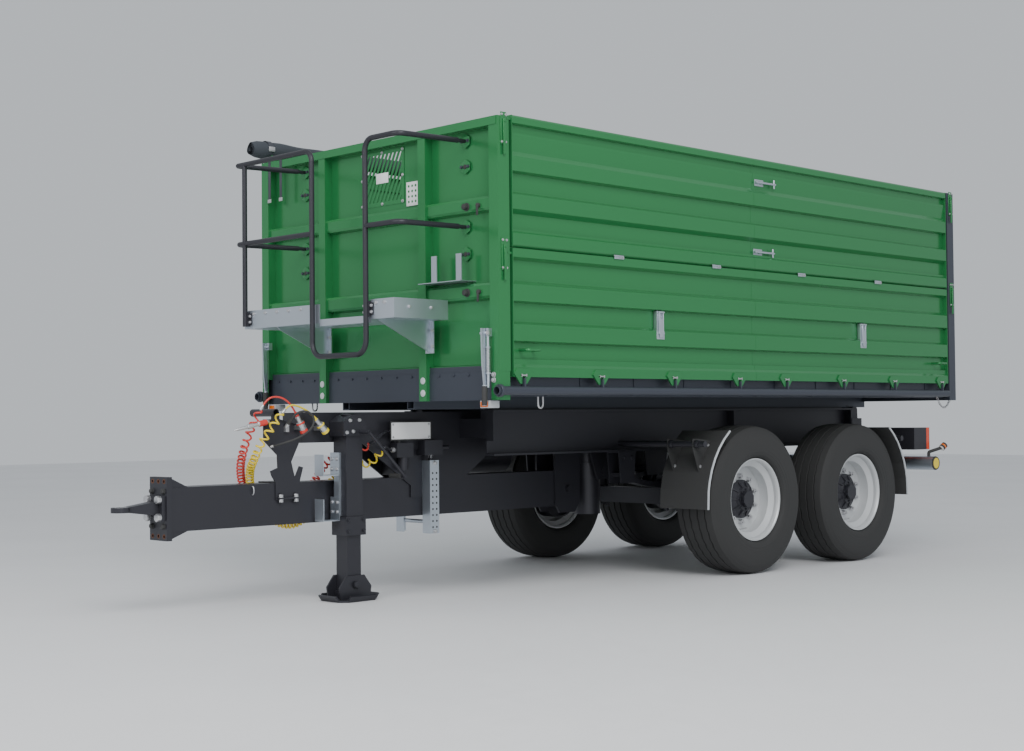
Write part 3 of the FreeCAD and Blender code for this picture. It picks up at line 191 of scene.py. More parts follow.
# Zinc spangle: crystal cells that differ in tone and gloss
SPANGLE = Effect(
    "spangle", ("Scale",),
    (("cells", "TexVoronoi", {}, {}), ("split", "SeparateColor", {}, {}),
     ("cloud", "TexNoise", {}, {"Scale": 14.0, "Detail": 4.0}),
     ("both", "Math", {"operation": "MULTIPLY_ADD"}, {1: 0.45}),
     ("rough", "MapRange", {}, {"To Min": 0.32, "To Max": 0.55}),
     ("bump", "Bump", {}, {"Strength": 0.15, "Distance": 0.0005})),
    (("place", "Object", "cells", "Vector"), ("place", "Object", "cloud", "Vector"),
     ("in", "Scale", "cells", "Scale"), ("cells", "Color", "split", "Color"), ("split", "Red", "both", 0),
     ("cloud", "Fac", "both", 2), ("both", "Value", "blend", "Factor"), ("split", "Green", "rough", "Value"),
     ("cells", "Distance", "bump", "Height")))

# Coated cloth: two crossing thread waves under a soft mottle
WEAVE = Effect(
    "weave", ("Scale",),
    (("warp", "TexWave", {"bands_direction": "X"}, {"Distortion": 0.4}),
     ("weft", "TexWave", {"bands_direction": "DIAGONAL"}, {"Distortion": 0.4}),
     ("cross", "Math", {"operation": "MAXIMUM"}, {}),
     ("cloud", "TexNoise", {}, {"Scale": 7.0, "Detail": 5.0}),
     ("rough", "MapRange", {}, {"To Min": 0.42, "To Max": 0.66}),
     ("bump", "Bump", {}, {"Strength": 0.25, "Distance": 0.0006})),
    (("place", "Object", "warp", "Vector"), ("place", "Object", "weft", "Vector"), ("in", "Scale", "warp", "Scale"),
     ("in", "Scale", "weft", "Scale"), ("warp", "Fac", "cross", 0), ("weft", "Fac", "cross", 1),
     ("place", "Object", "cloud", "Vector"), ("cloud", "Fac", "blend", "Factor"), ("cloud", "Fac", "rough", "Value"),
     ("cross", "Value", "bump", "Height")))


@dataclass(frozen=True)
class Finish:
    """A finish made from one effect group and the plain values of its shader."""

    name: str
    base: Point
    deep: Point
    rough: Pair = (0.30, 0.42)
    effect: Effect = SKIN
    scale: float = 3.0
    peel: Pair = (160.0, 0.0004)
    metallic: float = 0.0
    coat: float = 0.0
    specular: float = 0.5
    row: str = ""

    def material(self) -> bpy.types.Material:
        """Builds the material, or gives the one already built.

        Returns:
            The material.
        """
        if self.name in bpy.data.materials:
            return bpy.data.materials[self.name]
        mat = bpy.data.materials.new(self.name)
        mat.use_nodes = True
        shader = mat.node_tree.nodes["Principled BSDF"]
        group = mat.node_tree.nodes.new("ShaderNodeGroup")
        group.node_tree = self.effect.tree()
        group.inputs["Base"].default_value = (*self.base, 1.0)
        group.inputs["Deep"].default_value = (*self.deep, 1.0)
        values = {"Scale": self.scale, "Rough Low": self.rough[0], "Rough High": self.rough[1],
                  "Peel Scale": self.peel[0], "Peel Depth": self.peel[1]}
        for name in self.effect.inputs:
            group.inputs[name].default_value = values[name]
        for output, socket in (("Color", "Base Color"), ("Roughness", "Roughness"), ("Normal", "Normal")):
            mat.node_tree.links.new(group.outputs[output], shader.inputs[socket])
        for name, value in (("Metallic", self.metallic), ("Specular IOR Level", self.specular),
                            ("Coat Weight", self.coat), ("Coat Roughness", 0.08)):
            shader.inputs[name].default_value = value
        return mat


BED_GREEN = Finish("bed_green", (0.0006, 0.140, 0.066), (0.0004, 0.105, 0.048), (0.24, 0.36), coat=0.06,
                   specular=0.22)
BED_DARK = Finish("bed_dark", (0.003, 0.010, 0.024), (0.002, 0.007, 0.016), specular=0.12)
CHASSIS_BLACK = Finish("chassis_black", (0.0025, 0.0035, 0.010), (0.0015, 0.002, 0.006), (0.28, 0.42),
                       specular=0.12)
WHEEL_SILVER = Finish("wheel_silver", (0.25, 0.30, 0.39), (0.20, 0.24, 0.32), (0.26, 0.38), metallic=0.7)
GALVANISED = Finish("galvanised", (0.40, 0.53, 0.63), (0.27, 0.38, 0.48), effect=SPANGLE, scale=75.0, metallic=0.8)
BRIGHT_STEEL = Finish("bright_steel", (0.50, 0.53, 0.58), (0.38, 0.41, 0.46), (0.20, 0.34), metallic=1.0)
CYLINDER_STEEL = Finish("cylinder_steel", (0.62, 0.63, 0.65), (0.55, 0.56, 0.58), (0.10, 0.18), metallic=1.0)
TYRE_RUBBER = Finish("tyre_rubber", (0.008, 0.009, 0.014), (0.004, 0.0045, 0.008), (0.50, 0.68), scale=6.0,
                     peel=(420.0, 0.0006), specular=0.16)
BLACK_PLASTIC = Finish("black_plastic", (0.004, 0.004, 0.008), (0.0025, 0.0025, 0.005), (0.38, 0.54),
                       peel=(600.0, 0.0003), specular=0.14)
WHITE_TRIM = Finish("white_trim", (0.62, 0.64, 0.66), (0.52, 0.54, 0.57), (0.35, 0.5), row="plate_white")
TARP_CLOTH = Finish("tarp_cloth", (0.007, 0.014, 0.026), (0.003, 0.007, 0.014), effect=WEAVE, scale=190.0)
STRAP_GREY = Finish("strap_grey", (0.06, 0.065, 0.08), (0.035, 0.04, 0.05), effect=WEAVE, scale=420.0,
                    row="black_plastic")
RED_PLASTIC = Finish("red_plastic", (0.60, 0.003, 0.008), (0.46, 0.002, 0.005), (0.22, 0.34), scale=9.0,
                     specular=0.35)
YELLOW_PLASTIC = Finish("yellow_plastic", (0.90, 0.52, 0.002), (0.80, 0.42, 0.001), (0.22, 0.34), scale=9.0,
                        specular=0.35)
LENS_RED = Finish("lens_red", (0.66, 0.022, 0.010), (0.52, 0.012, 0.006), (0.10, 0.2), scale=30.0, coat=0.5)
LENS_AMBER = Finish("lens_amber", (0.85, 0.19, 0.006), (0.74, 0.13, 0.004), (0.10, 0.2), scale=30.0, coat=0.5,
                    row="lens_red")
PLATE_WHITE = Finish("plate_white", (0.66, 0.68, 0.70), (0.58, 0.60, 0.62), (0.28, 0.4))
RUST_TONE = Finish("rust_tone", (0.17, 0.060, 0.024), (0.09, 0.030, 0.012), (0.6, 0.8), scale=60.0,
                   row="chassis_black")
FLOOR_PALE = Finish("floor_pale", (0.80, 0.80, 0.81), (0.77, 0.77, 0.78), (0.6, 0.75), scale=0.6,
                    peel=(90.0, 0.0003))

NODE_FINISH: dict[str, Finish] = {
    one.name: one for one in (BED_GREEN, BED_DARK, CHASSIS_BLACK, WHEEL_SILVER, GALVANISED, BRIGHT_STEEL,
                              CYLINDER_STEEL, TYRE_RUBBER, BLACK_PLASTIC, TARP_CLOTH, RED_PLASTIC, YELLOW_PLASTIC,
                              LENS_RED, PLATE_WHITE)}


# Modelling bench: each function leaves its piece at the origin, unturned and unscaled
def pick(*pieces: Piece) -> None:
    """Leaves object mode with only these pieces selected, and the first one active."""
    if bpy.context.object and bpy.context.object.mode != "OBJECT":
        bpy.ops.object.mode_set(mode="OBJECT")
    bpy.ops.object.select_all(action="DESELECT")
    for piece in pieces:
        piece.select_set(True)
    if pieces:
        bpy.context.view_layer.objects.active = pieces[0]


def settle(obj: Piece, name: str) -> Piece:
    """Names a piece and applies its place, turn and size to its mesh.

    Args:
        obj: Piece to finish.
        name: Its name.

    Returns:
        The same piece.
    """
    obj.name = name
    pick(obj)
    bpy.ops.object.transform_apply(location=True, rotation=True, scale=True)
    return obj


def smooth(obj: Piece, angle: float) -> Piece:
    """Shades a piece smooth up to an angle in degrees.

    Args:
        obj: Piece to shade.
        angle: Largest smooth angle, in degrees.

    Returns:
        The same piece.
    """
    pick(obj)
    bpy.ops.object.shade_smooth_by_angle(angle=math.radians(angle))
    return obj


def soften(width: float, clamp: bool = False) -> None:
    """Bevels all edges of the active piece by a width in millimetres.

    Args:
        width: Width of the bevel, in millimetres.
        clamp: Whether narrow edges limit it.
    """
    if width > 0.0:
        bpy.ops.object.mode_set(mode="EDIT")
        bpy.ops.mesh.select_all(action="SELECT")
        bpy.ops.mesh.bevel(offset=width / 1000.0, segments=2, affect="EDGES", clamp_overlap=clamp)
        bpy.ops.object.mode_set(mode="OBJECT")


def slab(name: str, x: Pair, y: Pair, z: Pair, edge: float = 1.0) -> Piece:
    """Block with softened edges.

    Args:
        name: Name of the piece.
        x: Its two ends along the trailer in millimetres, in any order, as in y and z.
        y: Its two ends across.
        z: Its two ends upwards.
        edge: Width of the bevel.

    Returns:
        The piece.
    """
    low, high = at(min(x), min(y), min(z)), at(max(x), max(y), max(z))
    pick()
    bpy.ops.mesh.primitive_cube_add(size=1.0, location=(low + high) / 2.0)
    bpy.context.object.scale = high - low
    obj = settle(bpy.context.object, name)
    soften(edge)
    return smooth(obj, 30.0)


def rod(name: str, start: Vector, end: Vector, radius: float, sides: int, edge: float) -> Piece:
    """Round or many-sided bar between two points.

    Args:
        name: Name of the piece.
        start: Middle of one end.
        end: Middle of the other end.
        radius: Radius to the corners in millimetres.
        sides: Number of sides.
        edge: Width of the bevel.

    Returns:
        The piece.
    """
    run = end - start
    pick()
    bpy.ops.mesh.primitive_cylinder_add(vertices=sides, radius=radius / 1000.0, depth=run.length,
                                        location=(start + end) / 2.0,
                                        rotation=run.to_track_quat("Z", "Y").to_euler())
    soften(edge)
    return smooth(settle(bpy.context.object, name), 40.0)


def loose(name: str, points: list[Point], edges: list[tuple[int, int]], faces: list[tuple[int, ...]]) -> Piece:
    """Piece from bare points, left active with all of it selected in edit mode.

    Args:
        name: Name of the mesh.
        points: Its points.
        edges: Its edges.
        faces: Its faces.

    Returns:
        The piece.
    """
    mesh = bpy.data.meshes.new(name)
    mesh.from_pydata(points, edges, faces)
    obj = bpy.data.objects.new(name, mesh)
    bpy.context.collection.objects.link(obj)
    pick(obj)
    bpy.ops.object.mode_set(mode="EDIT")
    bpy.ops.mesh.select_all(action="SELECT")
    return obj


def lathe(name: str, outline: Outline, centre: Vector, axis: Vector, steps: int) -> Piece:
    """Turned piece. An outline that starts off the axis is closed.

    Args:
        name: Name of the piece.
        outline: Pairs of along and radius in millimetres.
        centre: Point on the axis where along is 0.
        axis: Direction of the axis.
        steps: Number of facets round it.

    Returns:
        The piece.
    """
    points = [(radius / 1000.0, 0.0, along / 1000.0) for along, radius in outline]
    if outline[0][1] > 0.0:
        points.append(points[0])
    obj = loose(name, points, [(i, i + 1) for i in range(len(points) - 1)], [])
    bpy.ops.mesh.spin(steps=steps, angle=2.0 * math.pi, center=(0, 0, 0), axis=(0, 0, 1))
    bpy.ops.mesh.select_all(action="SELECT")
    bpy.ops.mesh.remove_doubles(threshold=0.00002)
    bpy.ops.mesh.normals_make_consistent(inside=False)
    bpy.ops.object.mode_set(mode="OBJECT")
    obj.data.transform(Matrix.Translation(centre) @ axis.to_track_quat("Z", "Y").to_matrix().to_4x4())
    return smooth(obj, 35.0)


def plate(name: str, outline: list[Vector], run: Vector, edge: float = 0.0) -> Piece:
    """Flat piece: a closed outline extruded along a vector, with softened edges.

    Args:
        name: Name of the piece.
        outline: Corners of the outline, in one plane.
        run: Thickness and direction of the extrusion.
        edge: Width of the bevel in millimetres.

    Returns:
        The piece.
    """
    obj = loose(name, [tuple(p) for p in outline], [], [tuple(range(len(outline)))])
    bpy.ops.mesh.extrude_region_move(TRANSFORM_OT_translate={"value": tuple(run)})
    bpy.ops.mesh.select_all(action="SELECT")
    bpy.ops.mesh.normals_make_consistent(inside=False)
    bpy.ops.object.mode_set(mode="OBJECT")
    soften(edge, clamp=True)
    return smooth(obj, 30.0)


def line(name: str, points: list[Vector]) -> Piece:
    """Curve object of one open NURBS line through control points.

    Args:
        name: Name of the curve.
        points: Points that it passes through.

    Returns:
        The curve.
    """
    curve = bpy.data.curves.new(name, "CURVE")
    curve.dimensions = "3D"
    curve.resolution_u = 10
    spline = curve.splines.new("NURBS")
    spline.points.add(len(points) - 1)
    for spot, point in zip(spline.points, points):
        spot.co = (*point, 1.0)
    spline.order_u = 3
    spline.use_endpoint_u = True
    obj = bpy.data.objects.new(name, curve)
    bpy.context.collection.objects.link(obj)
    return obj


def samples(curve: Piece, resolution: int) -> tuple[list[Vector], float]:
    """Points read from a smooth line, and its length in metres.

    Args:
        curve: Curve to follow.
        resolution: Steps for each of its segments.

    Returns:
        Its points and its length, in metres.
    """
    curve.data.resolution_u = resolution
    mesh = bpy.data.meshes.new_from_object(curve)
    points = [vertex.co.copy() for vertex in mesh.vertices]
    bpy.data.meshes.remove(mesh)
    return points, run_length(points)


def run_length(points: list[Vector]) -> float:
    """Length of the run through points."""
    return sum((b - a).length for a, b in zip(points, points[1:]))


def thicken(curve: Piece, radius: float, sides: int) -> Piece:
    """Gives a line a round section in millimetres, with closed ends.

    Args:
        curve: Curve to give a section.
        radius: Radius, in millimetres.
        sides: Resolution of the section.

    Returns:
        The same curve.
    """
    curve.data.bevel_depth = radius / 1000.0
    curve.data.bevel_resolution = sides
    curve.data.use_fill_caps = True
    return curve


def tube(name: str, points: list[Vector], radius: float, sides: int = 5) -> Piece:
    """Round tube along a smooth line, as a mesh.

    Args:
        name: Name of the piece.
        points: Points along its middle.
        radius: Radius, in millimetres.
        sides: Resolution of the section.

    Returns:
        The piece.
    """
    pick(thicken(line(name, points), radius, sides))
    bpy.ops.object.convert(target="MESH")
    return smooth(bpy.context.object, 50.0)


def join(name: str, pieces: list[Piece]) -> Piece:
    """Joins pieces into one named piece.

    Args:
        name: Name of the whole.
        pieces: Pieces to join.

    Returns:
        The joined piece.
    """
    pick(*pieces)
    if len(pieces) > 1:
        bpy.ops.object.join()
    obj = bpy.context.view_layer.objects.active
    obj.name = name
    obj.data.name = name
    return obj


def repeat(name: str, master: Piece, places: list[Matrix]) -> Piece:
    """Copies a piece made at the origin to each place, joined as one piece.

    Args:
        name: Name of the joined piece.
        master: The piece to copy, which goes away.
        places: One matrix for each copy.

    Returns:
        The joined piece.
    """
    made = []
    for place in places:
        one = master.copy()
        one.data = master.data.copy()
        one.data.transform(place)
        bpy.context.collection.objects.link(one)
        made.append(one)
    bpy.data.objects.remove(master)
    return join(name, made)


def facing(place: Vector, out: Vector, up: Vector = ABOVE) -> Matrix:
    """Matrix that sets a piece made along +Z so that it stands out from a face.

    Args:
        place: Point on the face.
        out: Direction away from the face.
        up: Direction that the piece's +Y turns to.

    Returns:
        The matrix.
    """
    z = out.normalized()
    side = up.cross(z)
    x = side.normalized() if side.length > 1e-6 else AHEAD
    turn = Matrix((x, z.cross(x), z)).transposed().to_4x4()
    return Matrix.Translation(place) @ turn


def spots(places: list[Point], out: Vector, up: Vector = ABOVE) -> list[Matrix]:
    """Matrices for pieces that stand on one face, from their places in millimetres."""
    return [facing(at(*place), out, up) for place in places]


@dataclass
class Fastener:
    """Hex-headed bolt or nut on a washer, made along +Z at the origin, in millimetres."""

    across: float
    head: float
    washer: float
    shank: float = 0.0
    sheet: float = 3.0

    def make(self) -> Piece:
        """Builds the fastener.

        Returns:
            The piece, standing on Z = 0.
        """
        top = self.sheet + self.head
        bars = [("washer", 0.0, self.sheet, self.washer, 20, 0.6),
                ("head", self.sheet - 1.0, top, self.across / math.sqrt(3.0), 6, 1.2)]
        if self.shank > 0.0:
            bars.append(("shank", top - 2.0, top + self.shank, self.across * 0.31, 14, 1.5))
        return join("fastener", [rod(name, ABOVE * low / 1000.0, ABOVE * high / 1000.0, radius, sides, edge)
                                 for name, low, high, radius, sides, edge in bars])


class Assembly:
    """Base of the sub-assemblies, with the body that pieces ride on unless another is given."""

    body: Body = Body.CHASSIS

    def add(self, obj: Piece, finish: Finish, body: Body | None = None) -> Piece:
        """Gives a piece its finish and the body it rides on.

        Args:
            obj: The piece.
            finish: Its finish.
            body: The body that carries it, if not the assembly's own.

        Returns:
            The piece.
        """
        carrier = body or self.body
        obj.data.materials.clear()
        obj.data.materials.append(finish.material())
        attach(obj, carrier.value)
        log.info("%s rides on %s", obj.name, carrier.value)
        return obj

    def put(self, name: str, pieces: list[Piece], finish: Finish, body: Body | None = None) -> Piece:
        """Joins pieces into one and adds it."""
        return self.add(join(name, pieces), finish, body)

    def bolt(self, name: str, size: tuple[float, ...], places: list[Matrix], finish: Finish,
             body: Body | None = None) -> Piece:
        """Adds fasteners of one size, given as across, head, washer and shank."""
        return self.add(repeat(name, Fastener(*size).make(), places), finish, body)

    def turn(self, name: str, outline: Outline, centre: Vector, axis: Vector, steps: int, finish: Finish) -> Piece:
        """Adds a turned piece."""
        return self.add(lathe(name, outline, centre, axis, steps), finish)


@dataclass
class Studio:
    """Camera at the photograph's view, pale floor and soft lights."""

    eye: Point = (9119.1, 7972.3, 1157.1)
    yaw: float = -2.3442
    pitch: float = 0.0260
    roll: float = -0.0092
    focal_px: float = 1551.5
    width_px: float = 1024.0
    sensor: float = 36.0
    floor_reach: float = 60.0
    sky: tuple[float, ...] = (0.90, 0.95, 1.0, 1.0)
    sky_strength: float = 0.66

    def camera(self) -> None:
        """Adds the camera."""
        data = bpy.data.cameras.new("view")
        data.sensor_width = self.sensor
        data.lens = self.focal_px * self.sensor / self.width_px
        data.clip_end = 200.0
        ahead = Vector((math.cos(self.yaw) * math.cos(self.pitch), math.sin(self.yaw) * math.cos(self.pitch),
                        math.sin(self.pitch)))
        level = Vector((math.sin(self.yaw), -math.cos(self.yaw), 0.0))
        over = level.cross(ahead)
        right = level * math.cos(self.roll) + over * math.sin(self.roll)
        up = over * math.cos(self.roll) - level * math.sin(self.roll)
        camera = bpy.data.objects.new("view", data)
        camera.matrix_world = (Matrix.Translation(at(*self.eye)) @
                               Matrix((right, up, -ahead)).transposed().to_4x4())
        bpy.context.collection.objects.link(camera)
        bpy.context.scene.camera = camera

    def floor(self) -> None:
        """Adds the floor."""
        pick()
        bpy.ops.mesh.primitive_plane_add(size=self.floor_reach, location=(0.0, 0.0, -0.001))
        obj = settle(bpy.context.object, "floor")
        obj.data.materials.append(FLOOR_PALE.material())

    def lights(self) -> None:
        """Adds the soft lights and the pale surroundings."""
        world = bpy.data.worlds.new("surroundings")
        world.use_nodes = True
        back = world.node_tree.nodes["Background"]
        back.inputs["Color"].default_value = self.sky
        back.inputs["Strength"].default_value = self.sky_strength
        bpy.context.scene.world = world
        for name, place, aim, size, power in (
                ("key", (5.0, 9.0, 9.0), (0.0, 0.5, 1.2), 7.0, 820.0),
                ("front", (11.0, 1.5, 6.5), (2.0, 0.0, 1.4), 6.0, 360.0),
                ("low", (6.0, 9.0, 0.8), (0.0, 0.8, 0.9), 5.0, 70.0)):
            data = bpy.data.lights.new(name, "AREA")
            data.shape = "DISK"
            data.size = size
            data.energy = power
            lamp = bpy.data.objects.new(name, data)
            lamp.location = place
            lamp.rotation_euler = (Vector(aim) - Vector(place)).to_track_quat("-Z", "Y").to_euler()
            bpy.context.collection.objects.link(lamp)

    def build(self) -> None:
        """Adds the whole studio."""
        self.camera()
        self.floor()
        self.lights()
        log.info("studio is set")


@dataclass
class Wheel(Assembly):
    """Tyre with four wavy grooves, wheel nuts and hub dress of one wheel, along its own axis."""

    name: str
    x: float
    side: Side
    body: Body
    steps: int = 160
    waves: int = 40
    wave_depth: float = 0.0032
    wave_from: float = 0.519
    wave_half: float = 0.112
    groove_at: tuple[float, ...] = (-98.0, -34.0, 34.0, 98.0)
    groove_half: float = 5.5
    groove_deep: float = 13.0
    tread_edge: Pair = (130.0, 529.0)
    tread_top: Pair = (536.0, 534.2)
    widest: float = 187.9
    stud_circle: float = 167.5
    stud_count: int = 10
    disc_out: float = 4.0
    shoulder: Outline = ((152, 524), (166, 505), (178.5, 478), (183, 462), (186.5, 430), (187.5, 405), (186.5, 372),
                         (183.5, 345), (176.5, 325), (165, 312), (137.5, 300))
    rings: tuple[float, ...] = (488, 482, 476, 448, 442, 368, 352, 346, 340, 334, 322)
    ring_high: float = 0.9
    inner: Outline = ((137.5, 287.3), (108, 287.3), (158, 345), (168, 405), (150, 470), (125, 497))
    rib: Outline = ((82, 0), (135, 0), (132, 5), (94, 33), (82, 34))

    def _side_line(self) -> list[Pair]:
        """Sidewall from the tread's edge to the bead, with its fine raised rings.

        Returns:
            Pairs of along and radius, in millimetres.
        """
        out: list[Pair] = []
        for (a0, r0), (a1, r1) in zip(self.shoulder, self.shoulder[1:]):
            count = max(1, int((r0 - r1) / 3.0))
            for k in range(count):
                radius = r0 + (r1 - r0) * k / count
                near = min(abs(radius - ring) for ring in self.rings) < 1.3
                out.append((min(a0 + (a1 - a0) * k / count + self.ring_high * near, self.widest), radius))
        return out + [self.shoulder[-1]]

    def _outline(self) -> list[Pair]:
        """Outline of the tyre as pairs of along and radius.

        Returns:
            The outline, open where it starts.
        """
        side = self._side_line() + list(self.inner)
        tread: list[Pair] = [(-self.tread_edge[0], self.tread_edge[1])]
        for spot in self.groove_at:
            top = self.tread_top[0 if abs(spot) < 50.0 else 1]
            low, half = top - self.groove_deep, self.groove_half
            tread += [(spot - half - 1.0, top), (spot - half, top - 1.0), (spot - half * 0.6, low),
                      (spot + half * 0.6, low), (spot + half, top - 1.0), (spot + half + 1.0, top)]
        mirrored = [(-along, radius) for along, radius in side[::-1]]
        line = mirrored[len(self.inner):] + tread + [self.tread_edge] + side
        return line + [(-along, radius) for along, radius in self.inner[::-1]]

    def tyre(self, centre: Vector, axis: Vector) -> None:
        """Turns the tyre and sets a wave into the edges of its grooves.

        Args:
            centre: Middle of the wheel.
            axis: Direction out of the wheel.
        """
        obj = lathe("dressed_tyre_" + self.name, self._outline(), centre, axis, self.steps)
        for vertex in obj.data.vertices:
            place = vertex.co - centre
            if math.hypot(place.x, place.z) > self.wave_from and abs(place.y) < self.wave_half:
                vertex.co.y += self.wave_depth * math.sin(self.waves * math.atan2(place.z, place.x))
        self.add(obj, TYRE_RUBBER)
        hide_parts("tyre_" + self.name)

    @staticmethod
    def _round(centre: Vector, axis: Vector, radius: float, count: int, phase: float = 0.0) -> list[Matrix]:
        """Places on a circle about the axis, each turned with it.

        Args:
            centre: Middle of the circle.
            axis: Direction that the pieces face.
            radius: Radius, in millimetres.
            count: Number of places.
            phase: Share of a step to turn them by.

        Returns:
            The places.
        """
        out = []
        for i in range(count):
            turn = 2.0 * math.pi * (i + phase) / count
            off = Vector((math.cos(turn), 0.0, math.sin(turn)))
            out.append(facing(centre + off * radius / 1000.0, axis, off))
        return out

    def hub_dress(self, centre: Vector, axis: Vector) -> None:
        """Wheel nuts with stud ends, ribs round the hub, cap screws and a valve stem.

        Args:
            centre: Middle of the wheel.
            axis: Direction out of the wheel.
        """
        disc = centre + axis * self.disc_out / 1000.0
        self.bolt("wheel_nuts_" + self.name, (32, 24, 21, 12),
                  self._round(disc, axis, self.stud_circle, self.stud_count, 0.5), BRIGHT_STEEL)
        rib = plate("rib", [Vector((r, -4.0, z)) / 1000.0 for r, z in self.rib], Vector((0.0, 0.008, 0.0)), 1.2)
        ribs = [facing(centre + axis * 0.023, axis) @ Matrix.Rotation(2.0 * math.pi * i / self.stud_count, 4, "Z")
                for i in range(self.stud_count)]
        self.add(repeat("hub_ribs_" + self.name, rib, ribs), CHASSIS_BLACK)
        self.bolt("cap_screws_" + self.name, (12, 7, 7.5), self._round(centre + axis * 0.0618, axis, 72.5, 8),
                  CHASSIS_BLACK)
        root = disc + BELOW * 0.218
        self.add(tube("valve_stem_" + self.name, [root, root + axis * 0.030, root + axis * 0.060 + ABOVE * 0.010], 4.5),
                 BRIGHT_STEEL)

    def build(self) -> None:
        """Adds the whole wheel."""
        centre = at(self.x, self.side.value * ST.wheel_y, ST.axle_z)
        self.tyre(centre, self.side.out)
        self.hub_dress(centre, self.side.out)


@dataclass
class RunningGear(Assembly):
    """Small hardware of axles, springs and mudguards."""

    guard_r: float = 622.0
    guard_out: float = 1198.0
    guard_low: float = 492.0
    trim_wide: float = 9.0
    arc_deg: tuple[int, ...] = (54, 46, 38, 30, 22, 14, 8)
    stay_y: tuple[float, ...] = (863.0, 1093.0)
    stay_deg: tuple[float, ...] = (24, 40)
    tube_z: float = 948.0
    spring_y: float = 420.0
    hanger_x: tuple[float, ...] = (640.0, -665.0, -1970.0)
    clamp: Outline = ((-16, 21.5), (-16, 27), (-10, 29), (10, 29), (16, 27), (16, 21.5))
    band: Outline = ((-6, 61.5), (-6, 67), (6, 67), (6, 61.5))

    def _edge(self, xc: float, way: int, radius: float, y: float) -> list[Vector]:
        """Points down the guard's edge at one radius.

        Args:
            xc: Place of the axle.
            way: 1 for the front guard, -1 for the rear one.
            radius: Radius of the edge.
            y: Place across.

        Returns:
            The points.
        """
        out = [at(xc + way * radius * math.cos(turn), y, ST.axle_z + radius * math.sin(turn))
               for turn in map(math.radians, self.arc_deg)]
        return out + [at(xc + way * radius, y, self.guard_low)]

    def guards(self) -> None:
        """White edge trim, stay bolts and tube clamps of the four mudguards."""
        trims, bolts, clamps = [], [], []
        for xc, way, tube_x in ((0.0, 1, 620.0), (-ST.axle_gap, -1, -1910.0)):
            for side in Side:
                y = side.value * self.guard_out
                outer = self._edge(xc, way, self.guard_r + 3.0, y)
                inner = self._edge(xc, way, self.guard_r - self.trim_wide, y)
                trims.append(plate("trim", outer + inner[::-1], side.out * 0.010, 1.2))
                for y_stay in self.stay_y:
                    for turn in map(math.radians, self.stay_deg):
                        out = Vector((way * math.cos(turn), 0.0, math.sin(turn)))
                        spot = at(xc, side.value * y_stay, ST.axle_z) + out * (self.guard_r / 1000.0)
                        bolts.append(facing(spot, out, side.out))
                    clamps.append(lathe("clamp", self.clamp, at(tube_x, side.value * (y_stay + 22.0), self.tube_z),
                                        side.out, 28))
        self.put("mudguard_trim", trims, WHITE_TRIM)
        self.bolt("stay_bolts", (20, 9, 14), bolts, BRIGHT_STEEL)
        self.put("stay_clamps", clamps, CHASSIS_BLACK)

    def springs(self) -> None:
        """Nuts under and over the spring clamps, hanger bolts and brake chamber bands."""
        nuts, hangers, bands = [], [], []
        for x in (0.0, -ST.axle_gap):
            for s in (1, -1):
                for dx, dy in ((-72, -54), (-72, 54), (72, -54), (72, 54)):
                    for z, way in ((451.7, BELOW), (682.6, ABOVE)):
                        nuts.append(facing(at(x + dx, s * self.spring_y + dy, z), way, AHEAD))
                bands += [lathe("band", self.band, at(x - 150.0, s * 600.0, z), ABOVE, 32) for z in (642.0, 692.0)]
        for x in self.hanger_x:
            for side in Side:
                y = side.value * (self.spring_y + 61.0)
                hangers += spots([(x + dx, y, 845.0) for dx in (-42, 42)], side.out)
        self.bolt("spring_nuts", (30, 18, 19), nuts, CHASSIS_BLACK)
        self.bolt("hanger_bolts", (24, 12, 17), hangers, CHASSIS_BLACK)
        self.put("chamber_bands", bands, GALVANISED)

    def build(self) -> None:
        """Adds the running gear's hardware."""
        self.guards()
        self.springs()


